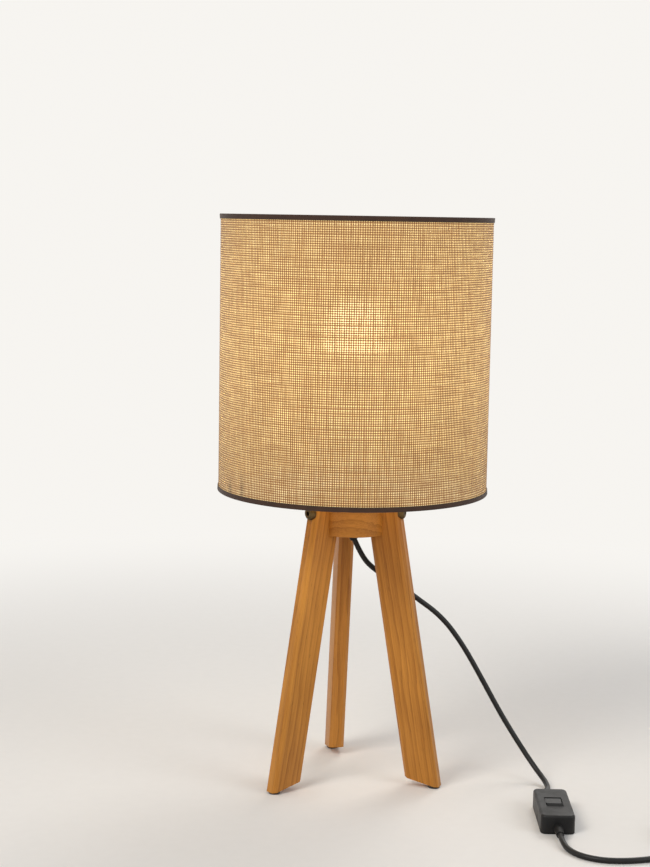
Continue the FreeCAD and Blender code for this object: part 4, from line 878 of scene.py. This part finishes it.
RUBBER_BLACK = (0.006, 0.006, 0.006, 1)
MOULDED_BLACK = (0.006, 0.006, 0.0065, 1)
WORN_BLACK = (0.014, 0.0135, 0.013, 1)
ROCKER_BLACK = (0.009, 0.009, 0.0095, 1)
ROCKER_WORN = (0.018, 0.0175, 0.017, 1)
LEAD_BLUE = (0.045, 0.115, 0.42, 1)
LEAD_WORN = (0.06, 0.13, 0.40, 1)

dress(moulded_material("black_rubber", RUBBER_BLACK, WORN_BLACK, smooth=0.55, grain=2400.0, relief=0.25,
                       specular_ior_level=0.3),
      "cord_gland", "switch_reliefs")
dress(moulded_material("black_moulding", MOULDED_BLACK, WORN_BLACK, smooth=0.38, grain=1500.0, relief=0.3,
                       specular_ior_level=0.3),
      "switch_base", "switch_cover", "plug_body", "pin_sleeves")
dress(moulded_material("rocker_moulding", ROCKER_BLACK, ROCKER_WORN, smooth=0.26, grain=2200.0, relief=0.1,
                       specular_ior_level=0.35),
      "switch_rocker")
dress(moulded_material("blue_insulation", LEAD_BLUE, LEAD_WORN, smooth=0.35), "switch_leads")


# ---------------------------------------------------------------- tie
# A short strap of soft black hook-and-loop tape, closed round the coil. Its outer
# side is a dense pile of fine loops.

STRAP_EASE = 0.00022
STRAP_ARRIS = 40.0            # a sharper edge than this is rounded, degrees
PILE_TOP = (0.034, 0.032, 0.031, 1)
# painted shade: the colour deep between the loops
PILE_HOLLOW_SHADE = (0.006, 0.006, 0.006, 1)


def strap_material():
    material, tree, shader = new_material("loop_pile", roughness=0.95, sheen_weight=0.3, sheen_roughness=0.5)
    pile = add(tree, "ShaderNodeTexVoronoi", {"Vector": own_place(tree), "Scale": 2200.0}).outputs["Distance"]
    # Painted shade: lighter on the loops' tops, darker in the hollows between them.
    tree.links.new(mix_colour(tree, pile, PILE_TOP, PILE_HOLLOW_SHADE), shader.inputs["Base Color"])
    add_relief(tree, shader, pile, strength=0.7, distance=0.0003)
    return material


strap = eased_copy("coil_tie", STRAP_EASE, STRAP_ARRIS)
strap.data.materials.append(strap_material())
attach(strap, "tripod")
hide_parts("coil_tie")


# ---------------------------------------------------------------- cord
# Round two-core cord, 5 mm, in a smooth black PVC jacket. It leaves the gland under
# the hub, swings out behind the right leg and lands beside the switch. Past the
# switch the unused length is wound in two layers and tied, with the plug beside it.

CORD_RADIUS = 0.0025
CORD_SIDES = 5                # Blender's bevel resolution
CORD_STEPS = 8                # between two points of the route
JACKET_BLACK = (0.005, 0.005, 0.0052, 1)
JACKET_WORN = (0.011, 0.0105, 0.010, 1)
GLAND_TIP = (0.00294, 0, 0.22867)
SWITCH_FAR_TIP = (0.184, -0.060, 0.0055)
SWITCH_NEAR_TIP = (0.184, -0.164, 0.0055)
TO_SWITCH = [
    GLAND_TIP, (0.00863, 0, 0.21588), (0.0185, 0.0035, 0.202), (0.040, 0.009, 0.1878),
    (0.062, 0.0135, 0.1715), (0.0875, 0.0165, 0.1525), (0.1075, 0.0175, 0.1265), (0.1265, 0.017, 0.094),
    (0.1455, 0.0145, 0.060), (0.1635, 0.0075, 0.0325), (0.178, -0.0045, 0.0132), (0.1863, -0.0185, 0.0052),
    (0.1883, -0.034, 0.0027), (0.184, -0.049, 0.0055), SWITCH_FAR_TIP]
TO_COIL = [
    SWITCH_NEAR_TIP, (0.184, -0.176, 0.0055), (0.187, -0.189, 0.0026), (0.1965, -0.204, 0.0026),
    (0.214, -0.213, 0.0026), (0.236, -0.2125, 0.0026), (0.257, -0.2065, 0.0027), (0.278, -0.1998, 0.003),
    (0.294, -0.1964, 0.00375), (0.307, -0.1964, 0.00375)]
TO_PLUG = [(0.3484, -0.155, 0.00925), (0.3484, -0.143, 0.00925), (0.3504, -0.129, 0.00685),
           (0.3504, -0.117, 0.00685)]
COIL_CENTRE = (0.312, -0.160)
COIL_OUTER = 0.0364
COIL_PITCH = 0.0055
COIL_TURNS = 6.25
COIL_HEIGHT = 0.00375
COIL_CLIMB = 0.5              # turns in which the lower layer climbs to the upper
POINTS_PER_TURN = 16


def coil_points():
    """Spirals in on the surface, climbs a layer, and spirals out again on top."""
    reversal = COIL_TURNS / 2
    climb_start = reversal - COIL_CLIMB / 2
    steps = round(COIL_TURNS * POINTS_PER_TURN)
    points = []
    for step in range(1, steps):
        turned = COIL_TURNS * step / steps
        angle = math.radians(360 * turned - 90)
        radius = COIL_OUTER - COIL_PITCH * (reversal - abs(turned - reversal))
        radius /= math.cos(math.pi / POINTS_PER_TURN)
        share = min(max((turned - climb_start) / COIL_CLIMB, 0), 1)
        height = COIL_HEIGHT + COIL_PITCH * (1 - math.cos(math.pi * share)) / 2
        points.append((COIL_CENTRE[0] + radius * math.cos(angle), COIL_CENTRE[1] + radius * math.sin(angle),
                       height))
    return points


CORD_JACKET = moulded_material("cord_jacket", JACKET_BLACK, JACKET_WORN, smooth=0.36, grain=1300.0,
                               relief=0.15, specular_ior_level=0.32)
dress(CORD_JACKET, "inner_cord")


def make_cord(name, route):
    curve = bpy.data.curves.new(name, "CURVE")
    curve.dimensions = "3D"
    curve.bevel_depth = CORD_RADIUS
    curve.bevel_resolution = CORD_SIDES
    curve.resolution_u = CORD_STEPS
    curve.use_fill_caps = True
    line = curve.splines.new("NURBS")
    line.points.add(len(route) - 1)
    for point, place in zip(line.points, route):
        point.co = (*place, 1)
    line.order_u = 3
    line.use_endpoint_u = True
    item = new_object(name, curve, CORD_JACKET)
    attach(item, "tripod")
    return item


near_cord = make_cord("cord_to_switch", TO_SWITCH)
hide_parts("cord_upper")
far_cord = make_cord("cord_to_plug", TO_COIL + coil_points() + TO_PLUG)
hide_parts("cord_lower", "cord_coil", "cord_tail")
